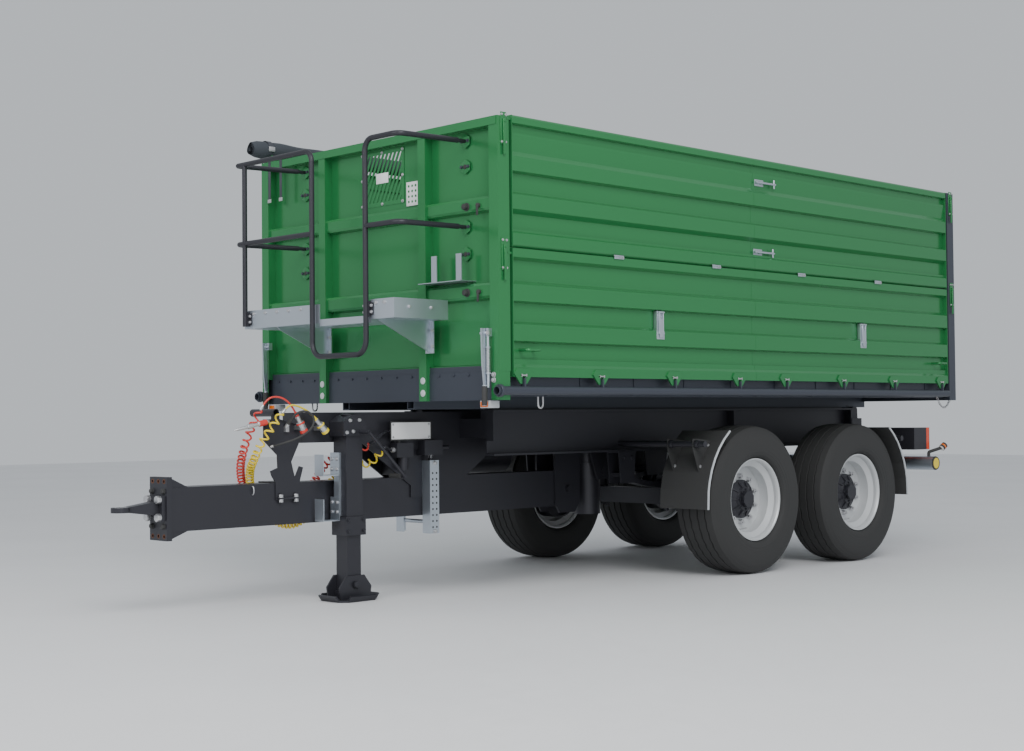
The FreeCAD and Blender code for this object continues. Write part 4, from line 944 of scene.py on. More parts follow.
@dataclass
class Drawbar(Assembly):
    """Bolts of the coupling plate and eye, clamp nuts, coupling rod and beam clip."""

    plate_x: float = 4243.0
    plate_z: tuple[float, ...] = (792.0, 734.0, 529.0, 471.0)
    plate_y: float = 62.0
    eye: Point = (4492.0, 0.0, 635.0)
    rod_tail: Point = (3536.0, 112.0, 1136.0)
    rod_tip: Point = (3790.0, 100.0, 1082.0)

    def bolts(self) -> None:
        """Black bolts, rusted empty holes and the eye's hex bolts."""
        held = self.plate_z[1:3]
        holes = [(self.plate_x, y, z) for y in (-self.plate_y, 0.0, self.plate_y) for z in self.plate_z]
        used = [hole for hole in holes if hole[1] != 0.0 and hole[2] in held]
        self.bolt("plate_bolts", (26, 15, 18), spots(used, AHEAD), BLACK_PLASTIC)
        ring = lathe("ring", ((0, 8.5), (0.8, 8.5), (0.8, 13.5), (0, 14)), ORIGIN, ABOVE, 24)
        empty = [hole for hole in holes if hole[2] not in held]
        self.add(repeat("worn_hole_rims", ring, spots(empty, AHEAD)), RUST_TONE)
        eyes = [(self.plate_x + 25.0, y, self.eye[2] + z) for y in (-58, 58) for z in (-52, 52)]
        self.bolt("eye_bolts", (42, 24, 22), spots(eyes, AHEAD), BRIGHT_STEEL)
        self.turn("eye_liner", ((-15.5, 25.5), (-15.5, 33), (-14, 34), (14, 34), (15.5, 33), (15.5, 25.5)),
                  at(*self.eye), ABOVE, 40, BRIGHT_STEEL)

    def stand(self) -> None:
        """Clamp nuts of the hose stand, the coupling rod parked on it, and a clip on the beam."""
        nuts = []
        for x in (3325.0, 3440.0):
            nuts += spots([(x, 103.3, 665.0)], ABOVE, AHEAD) + spots([(x, 103.3, 655.0)], BELOW, AHEAD)
        self.bolt("stand_nuts", (26, 16, 16), nuts, BRIGHT_STEEL)
        tail = at(*self.rod_tail)
        along = at(*self.rod_tip) - tail
        self.turn("parked_coupling_rod",
                  ((0, 0), (0, 13), (12, 16), (75, 16), (80, 11), (115, 11), (118, 15), (150, 15), (154, 10), (215, 9),
                   (252, 3), (258, 0)), tail, along, 28, BRIGHT_STEEL)
        self.turn("coupling_rod_grip", ((16, 16.3), (18, 18.5), (70, 18.5), (72, 16.3)), tail, along, 28, RED_PLASTIC)
        self.add(slab("rod_bracket", (3512, 3552), (93.4, 118), (1118, 1150), 2.0), CHASSIS_BLACK)
        clip = ((84, 742), (96, 742), (104, 716), (96, 690), (84, 690))
        self.add(tube("beam_clip", [at(3640, y, z) for y, z in clip], 4.0), BRIGHT_STEEL)

    def build(self) -> None:
        """Adds the drawbar's hardware."""
        self.bolts()
        self.stand()


@dataclass
class Jack(Assembly):
    """Gear head bolts, top cap, crank grip, bracket bolts and the foot's pin heads."""

    x: float = 2965.0
    y: float = 168.0
    half: float = 65.0
    head_bolts: Outline = ((-62, 1062), (70, 1062), (-30, 1140), (44, 1138), (20, 1068))

    def build(self) -> None:
        """Adds the jack's hardware."""
        left = Side.LEFT.out
        face = self.y + self.half
        self.bolt("jack_head_bolts", (18, 9, 12), spots([(self.x + dx, face + 14.0, z) for dx, z in self.head_bolts],
                                                        left), BRIGHT_STEEL)
        self.turn("jack_cap", ((0, 0), (0, 46), (6, 46), (12, 38), (16, 18), (17, 0)),
                  at(self.x, self.y + 4.0, 1171.0), ABOVE, 32, CHASSIS_BLACK)
        self.turn("crank_grip", ((0, 12.2), (0, 15), (6, 17), (50, 15.5), (110, 17.5), (118, 12.2)),
                  at(self.x - 330.0, 190.0, 775.0), left, 26, BLACK_PLASTIC)
        hooks = [(self.x + 90.0, y, z) for y in (118, 168) for z in (560, 620, 830, 895)]
        self.bolt("hook_bolts", (18, 7, 12), spots(hooks, AHEAD), BRIGHT_STEEL)
        collar = [(self.x + dx, face + 12.0, z) for dx in (-60, 60) for z in (438, 508)]
        self.bolt("collar_bolts", (18, 9, 12), spots(collar, left), CHASSIS_BLACK)
        pins = [facing(at(self.x, self.y + side.value * 80.0, 100.0), side.out) for side in Side]
        self.bolt("foot_pin_heads", (40, 8, 24), pins, CHASSIS_BLACK, Body.JACK_LEG)


@dataclass
class NeckDress(Assembly):
    """Step holes as black discs of painted shade, step bolts, blank plate frame, valve fittings."""

    step_out: float = 175.6
    plate_out: float = 160.3
    hole: Outline = ((-1, 0), (0.6, 0), (0.6, 6), (0, 7.2), (-1, 7.2), (-1, 0))
    frame_bars: tuple[tuple[Pair, Pair], ...] = (((2252, 2608), (1002, 1010)), ((2252, 2608), (1120, 1128)),
                                                 ((2252, 2260), (1010, 1120)), ((2600, 2608), (1010, 1120)))

    def build(self) -> None:
        """Adds the dress of the neck's left side."""
        left = Side.LEFT.out
        # The step holes are black discs: painted shade standing in for the dark inside of each hole.
        holes = [(x, self.step_out, z) for x in (2222, 2256) for z in range(420, 820, 40)]
        self.add(repeat("step_holes", lathe("hole", self.hole, ORIGIN, ABOVE, 18), spots(holes, left)), BLACK_PLASTIC)
        self.bolt("step_bolts", (22, 11, 15), spots([(2240, self.step_out, z) for z in (392.0, 848.0)], left),
                  BRIGHT_STEEL)
        self.put("plate_frame", [slab("frame", x, (self.plate_out - 3.0, self.plate_out + 4.0), z, 1.2)
                                 for x, z in self.frame_bars], BLACK_PLASTIC)
        self.put("plate_arms", [slab("arm", (x, x + 18), (150.0, 158.0), (985, 1012)) for x in (2310, 2520)],
                 BLACK_PLASTIC)
        screws = [(x, self.plate_out, z) for x in (2276, 2584) for z in (1024, 1106)]
        self.bolt("plate_screws", (10, 4, 7), spots(screws, left), BRIGHT_STEEL)
        nuts = spots([(2558, 130, 1060), (2558, 135, 940)], AHEAD) + spots([(2172, 142, 950)], BACK)
        self.bolt("pipe_nuts", (30, 18, 19), nuts + spots([(2245, 142, 901)], BELOW, AHEAD), BRIGHT_STEEL)


@dataclass
class SideWall(Assembly):
    """Locks, clamps and weld seams on both panels of one side wall, and the latches at its ends.

    A seam's line gives heights and depths behind the wall's outer face.
    """

    side: Side
    upper: Body
    lower: Body
    body: Body = Body.BED
    clamp_x: tuple[float, ...] = (1559.0, 539.0, -476.0, -1506.0)
    buckle_x: tuple[float, ...] = (1147.0, -1293.0)
    tag_x: tuple[float, ...] = (2448.0, 1742.0, 1012.0, 296.0, -266.0, -1004.0, -1723.0, -2442.0)
    lock_x: float = -10.0
    seam_x: float = 85.0
    upper_line: Outline = ((2985, 0), (2948, 0), (2941, 30), (2894, 30), (2891, 12), (2876, 12), (2777, 22), (2746, 2),
                           (2656, 2), (2644, 36), (2530, 36), (2512, 2), (2422, 2), (2396, 36), (2304, 36), (2300, 16),
                           (2288, 16), (2274, 0), (2202, 0))
    lower_line: Outline = ((2181, 2), (2128, 2), (2110, 36), (1985, 36), (1961, 2), (1859, 2), (1848, 36), (1734, 36),
                           (1716, 2), (1615, 2), (1603, 36), (1507, 36), (1504, 16), (1495, 16), (1472, 16), (1454, 2),
                           (1396, 2))

    def _y(self, proud: float) -> float:
        """Place across of what stands proud of the wall's outer face."""
        return self.side.value * (ST.wall_out + proud)

    def _ys(self, low: float, high: float) -> Pair:
        """Both ends across of a piece on the wall's outer face."""
        return self._y(low), self._y(high)

    def _seam(self, name: str, line: Outline, body: Body) -> None:
        """Weld seam that follows the pressed sheet.

        Args:
            name: Name without its side.
            line: Heights and depths of the sheet.
            body: Body that carries it.
        """
        outer = [at(self.seam_x, self._y(1.0 - depth), z) for z, depth in line]
        inner = [at(self.seam_x, self._y(-1.5 - depth), z) for z, depth in line]
        self.add(plate(name + self.side.tag, outer + inner[::-1], AHEAD * 0.006), BED_GREEN, body)

    def locks(self) -> None:
        """Two T-handled spring locks on the upper panel."""
        x = self.lock_x
        for k, (z, low) in enumerate(((2825.0, -19.0), (2323.0, -37.0))):
            y = self._y(low + 26)
            pieces = [slab("base", (x - 30, x + 74), self._ys(low, low + 6), (z - 24, z + 24), 2.0),
                      rod("neck", at(x + 20, self._y(low + 4), z), at(x + 20, self._y(low + 24), z), 12, 20, 1.0),
                      rod("grip", at(x - 150, y, z), at(x + 85, y, z), 8, 20, 3.0),
                      rod("knob", at(x - 130, y, z - 32), at(x - 130, y, z + 32), 7, 20, 2.0)]
            self.put(f"t_lock_{k}{self.side.tag}", pieces, GALVANISED, self.upper)

    def clamps(self) -> None:
        """Galvanised clamps over the split."""
        made, screws = [], []
        for x in self.clamp_x:
            made.append(slab("clamp", (x - 46, x + 46), self._ys(1.5, 7), (2172, 2198), 2.0))
            made.append(rod("pin", at(x - 30, self._y(8), 2192), at(x + 52, self._y(8), 2192), 6, 16, 1.2))
            screws += spots([(x + dx, self._y(7), 2182) for dx in (-36, -12)], self.side.out)
        self.put("split_clamps" + self.side.tag, made, GALVANISED, self.upper)
        self.bolt("clamp_screws" + self.side.tag, (10, 4, 7), screws, BRIGHT_STEEL, self.upper)

    def buckles(self) -> None:
        """Two toggle buckles on the lower panel: plate, foot, lever and the bail round them."""
        made = []
        for x in self.buckle_x:
            y = self._y(8)
            made += [slab("plate", (x - 34, x + 34), self._ys(-32, 2), (1716, 1850), 2.0),
                     slab("foot", (x - 40, x + 40), self._ys(-3, 3), (1660, 1716), 2.0),
                     slab("lever", (x - 17, x + 17), self._ys(5, 13), (1672, 1800), 3.0)]
            made += [rod("bail", at(x + dx, y, 1700), at(x + dx, y, 1842), 4, 14, 1.0) for dx in (-22, 22)]
            made += [rod("cross", at(x - 30, y, z), at(x + 30, y, z), 6.5, 16, 1.2) for z in (1842, 1700)]
        self.put("toggle_buckles" + self.side.tag, made, GALVANISED, self.lower)

    def tags(self) -> None:
        """Hook pins across the slots of the hinge tags, between their lugs."""
        pins = []
        for x in self.tag_x:
            pins.append(rod("pin", at(x - 23, self._y(11), 1404), at(x + 23, self._y(11), 1404), 5.5, 16, 1.2))
            pins += [slab("lug", (x + dx - 3, x + dx + 3), self._ys(7, 15), (1395, 1413)) for dx in (-20, 20)]
        self.put("hook_pins" + self.side.tag, pins, BRIGHT_STEEL, self.lower)

    def latches(self) -> None:
        """Long lever latches on the corner posts, front and rear."""
        made, screws = [], []
        for x, face in ((2590.0, -9.5), (-2628.0, 0.5)):
            foot = self._y(face + 2)
            for z0, z1 in ((2746, 3006), (1979, 2240)):
                made += [slab("plate", (x - 24, x + 24), self._ys(face, face + 5), (z0 + 60, z1), 2.0),
                         slab("lever", (x - 10, x + 10), self._ys(face + 9, face + 17), (z0, z1 - 40), 3.0),
                         rod("pivot", at(x, foot, z1 - 56), at(x, self._y(face + 22), z1 - 56), 9, 20, 1.5),
                         rod("keeper", at(x, foot, z0 + 80), at(x, self._y(face + 19), z0 + 80), 7, 18, 1.5)]
                screws += spots([(x + dx, self._y(face + 5), z) for dx in (-16, 16) for z in (z0 + 76, z1 - 16)],
                                self.side.out)
        self.put("corner_latches" + self.side.tag, made, BED_GREEN)
        self.bolt("latch_screws" + self.side.tag, (12, 5, 8), screws, BRIGHT_STEEL)

    def build(self) -> None:
        """Adds the wall's dress."""
        self.locks()
        self.clamps()
        self.buckles()
        self.tags()
        self.latches()
        self._seam("seam_upper", self.upper_line, self.upper)
        self._seam("seam_lower", self.lower_line, self.lower)


@dataclass
class Headboard(Assembly):
    """Grille plate and screws, rail plates, buffers, plugs and sheet screws of the headboard."""

    body: Body = Body.BED
    window_y: Pair = (-158.0, 283.0)
    window_z: Pair = (2552.0, 2920.0)
    grille_front: float = 2579.0
    loop_y: Pair = (-772.0, 880.0)
    rail_z: Pair = (2872.0, 2335.0)
    spare_z: Pair = (2712.0, 2165.0)
    screw_rows: Outline = ((-1130, -580), (-460, 460), (580, 1130))
    screw_gap: float = 180.0
    shackle: Outline = ((2200, 1278), (2200, 1240), (2203, 1212), (2222, 1203), (2241, 1212), (2244, 1240),
                        (2244, 1278))

    def grille(self) -> None:
        """Screws round the grille and the small blank plate in its middle."""
        y0, y1 = self.window_y[0] + 13, self.window_y[1] - 13
        z0, z1 = self.window_z[0] + 13, self.window_z[1] - 13
        y, z, x = (y0 + y1) / 2, (z0 + z1) / 2, self.grille_front
        ring = [(x, a, b) for a in (y0, y, y1) for b in (z0, z1)] + [(x, a, z) for a in (y0, y1)]
        self.bolt("grille_screws", (14, 6, 11), spots(ring, AHEAD), BRIGHT_STEEL)
        self.add(slab("grille_plate", (x, x + 2), (y - 62, y + 62), (z - 34, z + 34), 0.8), PLATE_WHITE)

    def perforated(self) -> None:
        """White plate with four rows of four holes."""
        x = ST.head_plate
        self.add(slab("hole_plate", (x, x + 2.0), (309, 459), (2523, 2679), 0.8), PLATE_WHITE)
        hole = lathe("hole", ((-1, 0), (0.3, 0), (0.3, 8.5), (-1, 9), (-1, 0)), ORIGIN, ABOVE, 20)
        places = [(x + 2.0, 333.0 + 34.0 * i, 2550.0 + 34.0 * j) for i in range(4) for j in range(4)]
        self.add(repeat("plate_holes", hole, spots(places, AHEAD)), BED_GREEN)

    def rail_plates(self) -> None:
        """Hexagonal plates where the hand rails end, the spare ones with plugs, and the posts' pale plugs."""
        made, bolts, plugs = [], [], []
        for y in self.loop_y:
            for z, back, front in [(z, 2583.4, 2589.0) for z in self.rail_z] + [(z, 2583.0, 2588.0)
                                                                               for z in self.spare_z]:
                made.append(rod("hex", at(back, y, z), at(front, y, z), 48, 6, 1.5))
                bolts += spots([(front, y + dy, z) for dy in (-30, 30)], AHEAD)
            plugs += [rod("plug", at(2586.0, y, z), at(2592.0, y, z), 15, 24, 2.0) for z in self.spare_z]
        self.put("rail_plates", made, BED_GREEN)
        self.bolt("rail_plate_bolts", (17, 8, 11), bolts, BED_DARK)
        self.put("spare_plugs", plugs, BLACK_PLASTIC)
        self.put("round_plugs", [rod("plug", at(2636.0, y, z), at(2642.0, y, z), 22, 28, 2.5)
                                 for y in (-523.0, 523.0) for z in (1384.0, 1305.0)], WHITE_TRIM)

    def buffers(self) -> None:
        """Rubber buffers and two short levers on the rails near the left corner."""
        made = []
        for z in (2452.0, 1920.0):
            for name, y, back, front, radius, sides, edge in (("foot", 930, 2622, 2628, 26, 28, 1.0),
                                                              ("buffer", 930, 2627, 2654, 19, 28, 5.0),
                                                              ("hub", 1040, 2622, 2640, 14, 22, 2.0)):
                made.append(rod(name, at(back, y, z), at(front, y, z), radius, sides, edge))
            made.append(slab("lever", (2634, 2642), (1032, 1048), (z - 62, z + 12), 3.0))
        self.put("buffers_and_levers", made, BLACK_PLASTIC)

    def sheet_screws(self) -> None:
        """Small screws along the lower dark sheets, bolts at the corner and collars on the lock tubes."""
        places = []
        for start, end in self.screw_rows:
            count = int((end - start) / self.screw_gap) + 1
            places += [(2610.0, start + (end - start) * (k + 0.5) / count, 1412.0) for k in range(count)]
        self.bolt("sheet_screws", (13, 5, 9), spots(places, AHEAD), BED_DARK)
        corner = [(ST.head_front, s * 1178.0, z) for s in (1, -1) for z in (1375.0, 1408.0)]
        self.bolt("corner_bolts", (24, 12, 17), spots(corner, AHEAD), BRIGHT_STEEL)
        collar = ((0, 27.9), (0, 37), (3, 39), (20, 39), (23, 37), (23, 27.9))
        self.put("tube_collars", [lathe("collar", collar, at(2638.0, s * 1240.0, ST.tube_z), AHEAD, 36)
                                  for s in (1, -1)], BED_DARK)

    def under(self) -> None:
        """White box lights and shackles under the bed's corners."""
        for side in Side:
            s = side.value
            for name, x, y, z, edge, finish in (
                    ("box_light", (2556, 2646), (s * 1060, s * 1140), (1206, 1252), 4.0, WHITE_TRIM),
                    ("box_light_lens", (2645, 2651), (s * 1068, s * 1132), (1212, 1246), 2.0, LENS_AMBER)):
                self.put(name + side.tag, [slab(name, x, y, z, edge)], finish)
            self.add(tube("shackle" + side.tag, [at(x, s * 1160, z) for x, z in self.shackle], 6.0), BRIGHT_STEEL)

    def build(self) -> None:
        """Adds the headboard's dress."""
        self.grille()
        self.perforated()
        self.rail_plates()
        self.buffers()
        self.sheet_screws()
        self.under()


@dataclass
class Platform(Assembly):
    """Bolts of the platform's lips and brackets, rail feet, grips and springs of the lock levers."""

    body: Body = Body.BED
    lever_y: float = 1118.0
    coil_turns: int = 16
    coil_r: float = 0.0125
    lip_y: tuple[float, ...] = (-690, -560, -430, -300, -170, -60, 600, 680)
    foot_y: Pair = (-762.0, 528.0)
    grip: Outline = ((0, 0), (0, 12), (4, 17), (30, 18.5), (60, 17.5), (112, 18.5), (120, 15.2), (120, 0))
    seat: Outline = ((-3, 9.2), (-3, 17), (3, 17), (3, 9.2))

    def bolts(self) -> None:
        """Bolts along the lips and on the bracket flanges, and the feet of the rails."""
        x = ST.plat_front
        places = spots([(x, y, 1858.0) for y in self.lip_y], AHEAD)
        places += spots([(2647.0, y + dy, z) for y in (-450, 606) for dy in (-26, 24) for z in (1600, 1700)], AHEAD)
        for dx in (120, 300):
            places += spots([(x - dx, 770.0, 1830.0)], Side.LEFT.out) + spots([(x - dx, -800.0, 1830.0)],
                                                                              Side.RIGHT.out)
        self.bolt("platform_bolts", (18, 8, 12), places, BRIGHT_STEEL)
        feet = [y + dy for y in self.foot_y for dy in (-34.0, 34.0)]
        self.put("rail_feet", [slab("foot", (x + 0.3, x + 6), (y - 14, y + 14), (1786, 1862), 2.0) for y in feet],
                 CHASSIS_BLACK)
        self.bolt("rail_foot_bolts", (16, 8, 11), spots([(x + 6.0, y, z) for y in feet for z in (1804, 1844)], AHEAD),
                  BRIGHT_STEEL)

    def levers(self) -> None:
        """Black grips, pivot bolts and rod springs of the two lock levers."""
        front = ST.head_front
        for side in Side:
            s = side.value
            y, y_rod = s * (self.lever_y + 15), s * (self.lever_y + 34)
            low, top = at(front + 40, y, 1219), at(front + 36.1, y, 1342)
            self.turn("lever_grip" + side.tag, self.grip, low, top - low, 28, BLACK_PLASTIC)
            self.bolt("lever_bolt" + side.tag, (26, 10, 18),
                      spots([(front + 30, s * (self.lever_y + 40), 1660)], side.out), BRIGHT_STEEL)
            points = []
            for k in range(self.coil_turns * 12 + 1):
                turn = 2.0 * math.pi * k / 12.0
                points.append(at(front + 24, y_rod, 1420.0 + 150.0 * k / (self.coil_turns * 12)) +
                              Vector((math.cos(turn), math.sin(turn), 0.0)) * self.coil_r)
            self.add(tube("rod_spring" + side.tag, points, 2.2, sides=2), BRIGHT_STEEL)
            self.put("spring_seats" + side.tag, [lathe("seat", self.seat, at(front + 24, y_rod, z), ABOVE, 24)
                                                 for z in (1416.0, 1574.0)], GALVANISED)

    def build(self) -> None:
        """Adds the platform's dress."""
        self.bolts()
        self.levers()


@dataclass
class RearEnd(Assembly):
    """Lens grids, amber sections, marker lenses, reflector rims and the short chain at the rear."""

    lens_rear: float = -2327.0
    lens_y: Pair = (780.0, 1185.0)
    lens_z: Pair = (850.0, 1030.0)
    reflector: Point = (-2340.0, 1231.0, 735.0)
    marker: Point = (-2402.0, 1254.0, 858.0)
    dome: Outline = ((0, 0), (0, 23.5), (2, 23.5), (5, 17), (6, 0))
    band: Outline = ((17, 26.2), (18, 27.2), (29, 27.2), (30, 26.2))
    rim: Outline = ((-6, 50.2), (-6, 56), (2, 57), (9, 53), (9, 44), (8, 50.2))
    links: int = 11
    sag: float = 0.072

    def lamps(self) -> None:
        """Frames and amber sections on the rear lamps."""
        grid, amber = [], []
        (y0, y1), (z0, z1) = self.lens_y, self.lens_z
        x = self.lens_rear
        for s in (1, -1):
            for a, b, low, high in ((y0, y1, z0, z0 + 7), (y0, y1, z1 - 7, z1), (y0, y0 + 7, z0, z1),
                                    (y1 - 7, y1, z0, z1), (y0 + 126, y0 + 132, z0, z1), (y0 + 258, y0 + 264, z0, z1)):
                grid.append(slab("bar", (x - 3, x + 1), (s * a, s * b), (low, high), 0.8))
            amber.append(slab("amber", (x - 2, x + 0.5), (s * (y0 + 264), s * (y1 - 7)), (z0 + 7, z1 - 7), 0.8))
        self.put("lamp_grids", grid, BLACK_PLASTIC)
        self.put("amber_sections", amber, LENS_AMBER)

    def markers(self) -> None:
        """Lenses of the marker lamps, and rims of the bumper's reflectors."""
        for side in Side:
            s = side.value
            start = at(self.marker[0], s * self.marker[1], self.marker[2])
            axis = Vector((-80.0, s * 22.0, 60.0)).normalized()
            self.turn("marker_red" + side.tag, self.dome, start + axis * 0.046, axis, 28, LENS_RED)
            self.turn("marker_white" + side.tag, self.dome, start, -axis, 28, PLATE_WHITE)
            self.turn("marker_amber" + side.tag, self.band, start, axis, 28, LENS_AMBER)
            self.turn("reflector_rim" + side.tag, self.rim,
                      at(self.reflector[0], s * self.reflector[1], self.reflector[2]), side.out, 44, BLACK_PLASTIC)

    def chain(self) -> None:
        """Safety chain that hangs in a short bow under each rear corner."""
        ring = []
        for k in range(13):
            turn = 2.0 * math.pi * k / 12.0
            rise = 6.0 if math.sin(turn) > 0 else -6.0
            ring.append(Vector((7.5 * math.cos(turn), 0.0, 12.5 * math.sin(turn) + rise)) / 1000.0)
        master = tube("link", ring, 2.7, sides=2)
        places = []
        for s in (1, -1):
            rear, front = at(-2640, s * 1196, 1254), at(-2440, s * 1196, 1280)
            for k in range(self.links):
                share = (k + 0.5) / self.links
                spot = rear.lerp(front, share) - ABOVE * (self.sag * 4.0 * share * (1.0 - share))
                slope = (front - rear) - ABOVE * (self.sag * 4.0 * (1.0 - 2.0 * share))
                turn = slope.to_track_quat("Z", "Y").to_matrix().to_4x4()
                places.append(Matrix.Translation(spot) @ turn @ Matrix.Rotation(math.pi / 2.0 * (k % 2), 4, "Z"))
        self.add(repeat("corner_chains", master, places), BRIGHT_STEEL, Body.BED)

    def build(self) -> None:
        """Adds the rear end's dress."""
        self.lamps()
        self.markers()
        self.chain()


@dataclass
class TarpRoll(Assembly):
    """Load cover, rolled up in a loose spiral and strapped on the right-hand top edge.

    The outline gives the roll's radius along the trailer.
    """

    body: Body = Body.BED
    y: float = -1215.0
    z: float = 3084.0
    core: float = 16.0
    turns: int = 7
    per_turn: int = 26
    lengths: int = 110
    sheet_width: float = 1.80
    outline: Outline = ((-2648, 54), (-2560, 54), (-2480, 56), (-1200, 60), (0, 56), (1300, 62), (2300, 57), (2530, 70),
                        (2620, 70), (2700, 62), (2738, 46))
    strap_x: tuple[float, ...] = (2600.0, 1900.0, 1000.0, 0.0, -1000.0, -1900.0, -2600.0)

    def _reach(self, x: float) -> float:
        """Outer radius at one place along the roll, drawn in a little at each strap.

        Args:
            x: Place along the trailer.

        Returns:
            The radius, in millimetres.
        """
        near = min(abs(x - strap) for strap in self.strap_x)
        pinch = 1.0 - 0.075 * math.exp(-(near / 70.0) ** 2)
        for (x0, r0), (x1, r1) in zip(self.outline, self.outline[1:]):
            if x <= x1:
                share = (x - x0) / (x1 - x0)
                return (r0 + (r1 - r0) * share * share * (3.0 - 2.0 * share)) * pinch
        return self.outline[-1][1] * pinch

    def roll(self) -> Piece:
        """Winds the sheet: each row of points is the same spiral at its own radius.

        Returns:
            The rolled sheet.
        """
        pick()
        bpy.ops.mesh.primitive_grid_add(x_subdivisions=self.lengths, y_subdivisions=self.turns * self.per_turn,
                                        size=1.0)
        obj = bpy.context.object
        obj.name = "rolled_tarp"
        x_low, x_high = self.outline[0][0], self.outline[-1][0]
        for vertex in obj.data.vertices:
            x = x_low + (vertex.co.x + 0.5) * (x_high - x_low)
            share = vertex.co.y + 0.5
            turn = 2.0 * math.pi * self.turns * share + 0.6
            ripple = 1.4 * math.sin(x / 61.0 + 3.0 * turn / self.turns) * math.sin(2.0 * turn + x / 190.0) * share
            radius = self.core + (self._reach(x) - self.core) * share ** 0.8 + ripple
            end_wave = 4.0 * math.sin(2.0 * turn) if vertex.co.x > 0.49 else 0.0
            vertex.co = at(x + end_wave, self.y + radius * math.cos(turn), self.z + radius * math.sin(turn))
        return self.add(smooth(obj, 70.0), TARP_CLOTH)

    def straps(self) -> list[Piece]:
        """Webbing straps round the roll with their buckles, and two tails down the headboard.

        Returns:
            The pieces on the roll.
        """
        bands, buckles = [], []
        for x in self.strap_x:
            low = self._reach(x)
            high = low + 2.2
            bands.append(lathe("strap", ((-20, low), (-20, high), (20, high), (20, low)), at(x, self.y, self.z), AHEAD,
                               44))
            buckles.append(slab("buckle", (x - 26, x + 26), (self.y + low, self.y + low + 7.0),
                                (self.z - 18, self.z + 18), 2.0))
        for y in (-1120.0, -985.0):
            bands.append(slab("tail", (2641.5, 2643.5), (y - 14, y + 14), (2700, 2984), 0.6))
            buckles.append(slab("ring", (2641, 2646), (y - 20, y + 20), (2690, 2716), 2.0))
        return [self.put("tarp_straps", bands, STRAP_GREY), self.put("strap_buckles", buckles, BRIGHT_STEEL)]

    def build(self) -> None:
        """Adds the rolled cover with its straps."""
        sheet = self.roll()
        with_it = self.straps()
        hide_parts("tarp_roll")


@dataclass
class AirHose(Assembly):
    """Curly air hose with its plain lead: routes in millimetres, the hose's own sizes in metres."""

    colour: str
    finish: Finish
    coil: tuple[Point, ...]
    lead: tuple[Point, ...]
    coil_r: float = 0.028
    hose_r: float = 0.006
    pitch: float = 0.026
    open_pitch: float = 0.070
    open_run: float = 0.50
    end_run: float = 0.03
    per_turn: int = 14
    lead_in: float = 40.0
    sleeve: Outline = ((-26, 0), (-26, 7.5), (-18, 9.5), (4, 9.5), (10, 7.5), (10, 0))
    boot: Outline = ((0, 0), (0, 12.5), (10, 11.5), (30, 7.8), (30, 0))
    cap: Outline = ((-112, 0), (-112, 21), (-108, 26.2), (-94, 26.2), (-90, 24.2), (-90, 0))
    band: Outline = ((-52, 24.2), (-52, 27.5), (-46, 27.5), (-42, 24.2))

    def _helix(self, spine: list[Vector]) -> list[Vector]:
        """Points of the coil about its spine, open near both ends and tight in the middle.

        Args:
            spine: Points of the coil's centre line.

        Returns:
            The points.
        """
        along = [0.0]
        for a, b in zip(spine, spine[1:]):
            along.append(along[-1] + (b - a).length)
        total = along[-1]
        side = (spine[1] - spine[0]).orthogonal().normalized()
        points: list[Vector] = []
        k, want, angle = 0, 0.0, 0.0
        while want < total:
            while along[k + 1] < want:
                k += 1
            run = (spine[k + 1] - spine[k]).normalized()
            mid = spine[k].lerp(spine[k + 1], (want - along[k]) / (along[k + 1] - along[k]))
            side = (side - run * side.dot(run)).normalized()
            ease = min(1.0, want / self.end_run, (total - want) / self.end_run)
            around = side * math.cos(angle) + run.cross(side) * math.sin(angle)
            points.append(mid + around * (self.coil_r - self.hose_r) * ease)
            near = max(0.0, 1.0 - min(want, total - want) / self.open_run)
            want += (self.pitch + (self.open_pitch - self.pitch) * near) / self.per_turn
            angle += 2.0 * math.pi / self.per_turn
        return points + [spine[-1]]

    def curl(self) -> None:
        """Adds the helix of the hose about its route."""
        route = line(self.colour + "_route", [at(*p) for p in self.coil])
        points = self._helix(samples(route, 48)[0])
        bpy.data.objects.remove(route)
        curve = thicken(line(self.colour + "_curl", points), self.hose_r * 1000.0, 3)
        curve.data.resolution_u = 2
        self.add(curve, self.finish)
        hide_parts(self.colour + "_coil")

    def plain(self) -> None:
        """Adds the plain stretch from the coupling to the swaged sleeve at the first turn."""
        first, second = Vector(self.coil[0]), Vector(self.coil[1])
        before = first - (second - first).normalized() * self.lead_in
        curve = line(self.colour + "_lead", [at(*p) for p in (*self.lead, before, first)])
        spine, length = samples(curve, 48)
        curve.data.resolution_u = 12
        self.add(thicken(curve, self.hose_r * 1000.0, 3), self.finish)
        sleeve = self.turn(self.colour + "_sleeve", self.sleeve, spine[-1], spine[-1] - spine[-2], 24, BRIGHT_STEEL)
        self.turn(self.colour + "_boot", self.boot, spine[0], spine[1] - spine[0], 24, self.finish)
        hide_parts(self.colour + "_hose")

    def build(self) -> None:
        """Adds both stretches, and the cap and band of the parked coupling."""
        self.curl()
        self.plain()
        top = at(*self.lead[0])
        axis = at(*self.lead[1]) - top
        self.turn(self.colour + "_coupling_cap", self.cap, top, axis, 32, self.finish)
        self.turn(self.colour + "_coupling_band", self.band, top, axis, 32, self.finish)


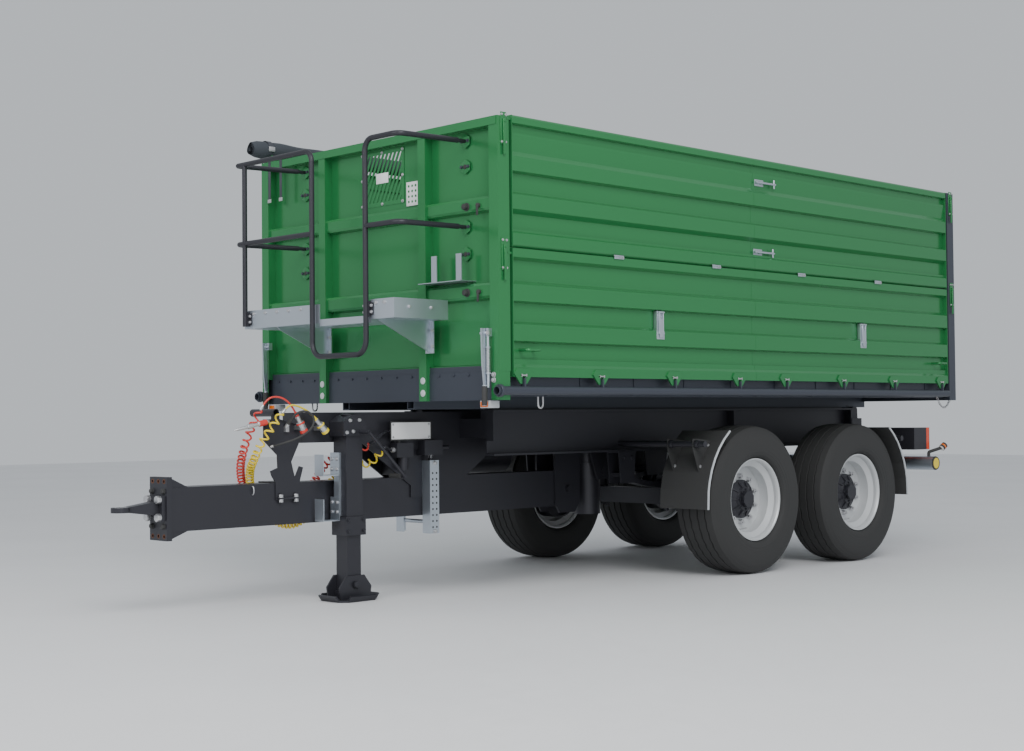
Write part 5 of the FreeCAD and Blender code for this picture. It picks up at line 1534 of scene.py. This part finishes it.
@dataclass
class BlackLead(Assembly):
    """Electric lead that loops from its socket to its clip."""

    route: tuple[Point, ...] = ((3395, 120, 1120), (3380, 160, 1180), (3320, 200, 1205), (3262, 215, 1165),
                                (3275, 215, 1095), (3360, 210, 1040), (3455, 180, 1005), (3500, 112, 985))
    radius: float = 0.007

    def build(self) -> None:
        """Adds the lead and its strain relief."""
        curve = line("black_cable", [at(*p) for p in self.route])
        spine, length = samples(curve, 10)
        self.add(thicken(curve, self.radius * 1000.0, 4), BLACK_PLASTIC)
        self.turn("lead_relief", ((0, 0), (0, 12.5), (6, 12.5), (34, 8.6), (34, 0)), spine[0], spine[1] - spine[0], 24,
                  BLACK_PLASTIC)
        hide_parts("black_lead")


class Trailer:
    """The whole trailer, as its cords first and then its sub-assemblies."""

    @staticmethod
    def finish_nodes(frame: dict) -> None:
        """Gives each CAD node the material of its slot.
        """
        for part in frame["record"]["subparts"]:
            obj = frame["nodes"].get(part["node"])
            if obj is not None:
                obj.data.materials.clear()
                obj.data.materials.append(NODE_FINISH[part["material_slot"]].material())

    @staticmethod
    def cords() -> None:
        """Adds the two air hoses and the electric lead."""
        AirHose("red", RED_PLASTIC,
                coil=((3572, 85, 1215), (3626, 72, 1120), (3642, 20, 1010), (3618, -60, 915), (3572, -145, 835),
                      (3510, -210, 730), (3400, -235, 625), (3260, -235, 560), (3115, -235, 565), (3000, -230, 650),
                      (2930, -212, 765), (2890, -150, 870), (2855, -40, 922), (2830, 75, 925), (2785, 170, 985)),
                lead=((3340, 140, 1165), (3372, 135, 1230), (3432, 118, 1284), (3505, 98, 1290))).build()
        AirHose("yellow", YELLOW_PLASTIC,
                coil=((3455, 150, 1193), (3540, 150, 1100), (3598, 115, 1000), (3590, 30, 900), (3550, -75, 832),
                      (3490, -152, 715), (3390, -155, 575), (3260, -155, 472), (3110, -155, 474), (2985, -152, 575),
                      (2890, -145, 710), (2810, -100, 820), (2750, 0, 850), (2715, 105, 855), (2680, 165, 940)),
                lead=((3211, 160, 1144), (3258, 158, 1192), (3318, 152, 1222), (3385, 150, 1240))).build()
        BlackLead().build()

    @staticmethod
    def build() -> None:
        """Adds every sub-assembly."""
        for side in Side:
            for axle, x in (("front", 0.0), ("rear", -ST.axle_gap)):
                name = axle + side.tag
                Wheel(name, x, side, Body["WHEEL_" + name.upper()]).build()
        for part in (RunningGear(), Drawbar(), Jack(), NeckDress(),
                     SideWall(Side.LEFT, Body.LEFT_UPPER, Body.LEFT_LOWER),
                     SideWall(Side.RIGHT, Body.RIGHT_UPPER, Body.RIGHT_LOWER),
                     Headboard(), Platform(), RearEnd(), TarpRoll()):
            part.build()


def main() -> None:
    """Builds the scene in order."""
    logging.basicConfig(level=logging.INFO, format="%(name)s: %(message)s")
    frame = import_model()
    Studio().build()
    Trailer.cords()
    Trailer.build()
    Trailer.finish_nodes(frame)


if __name__ == "__main__":
    main()
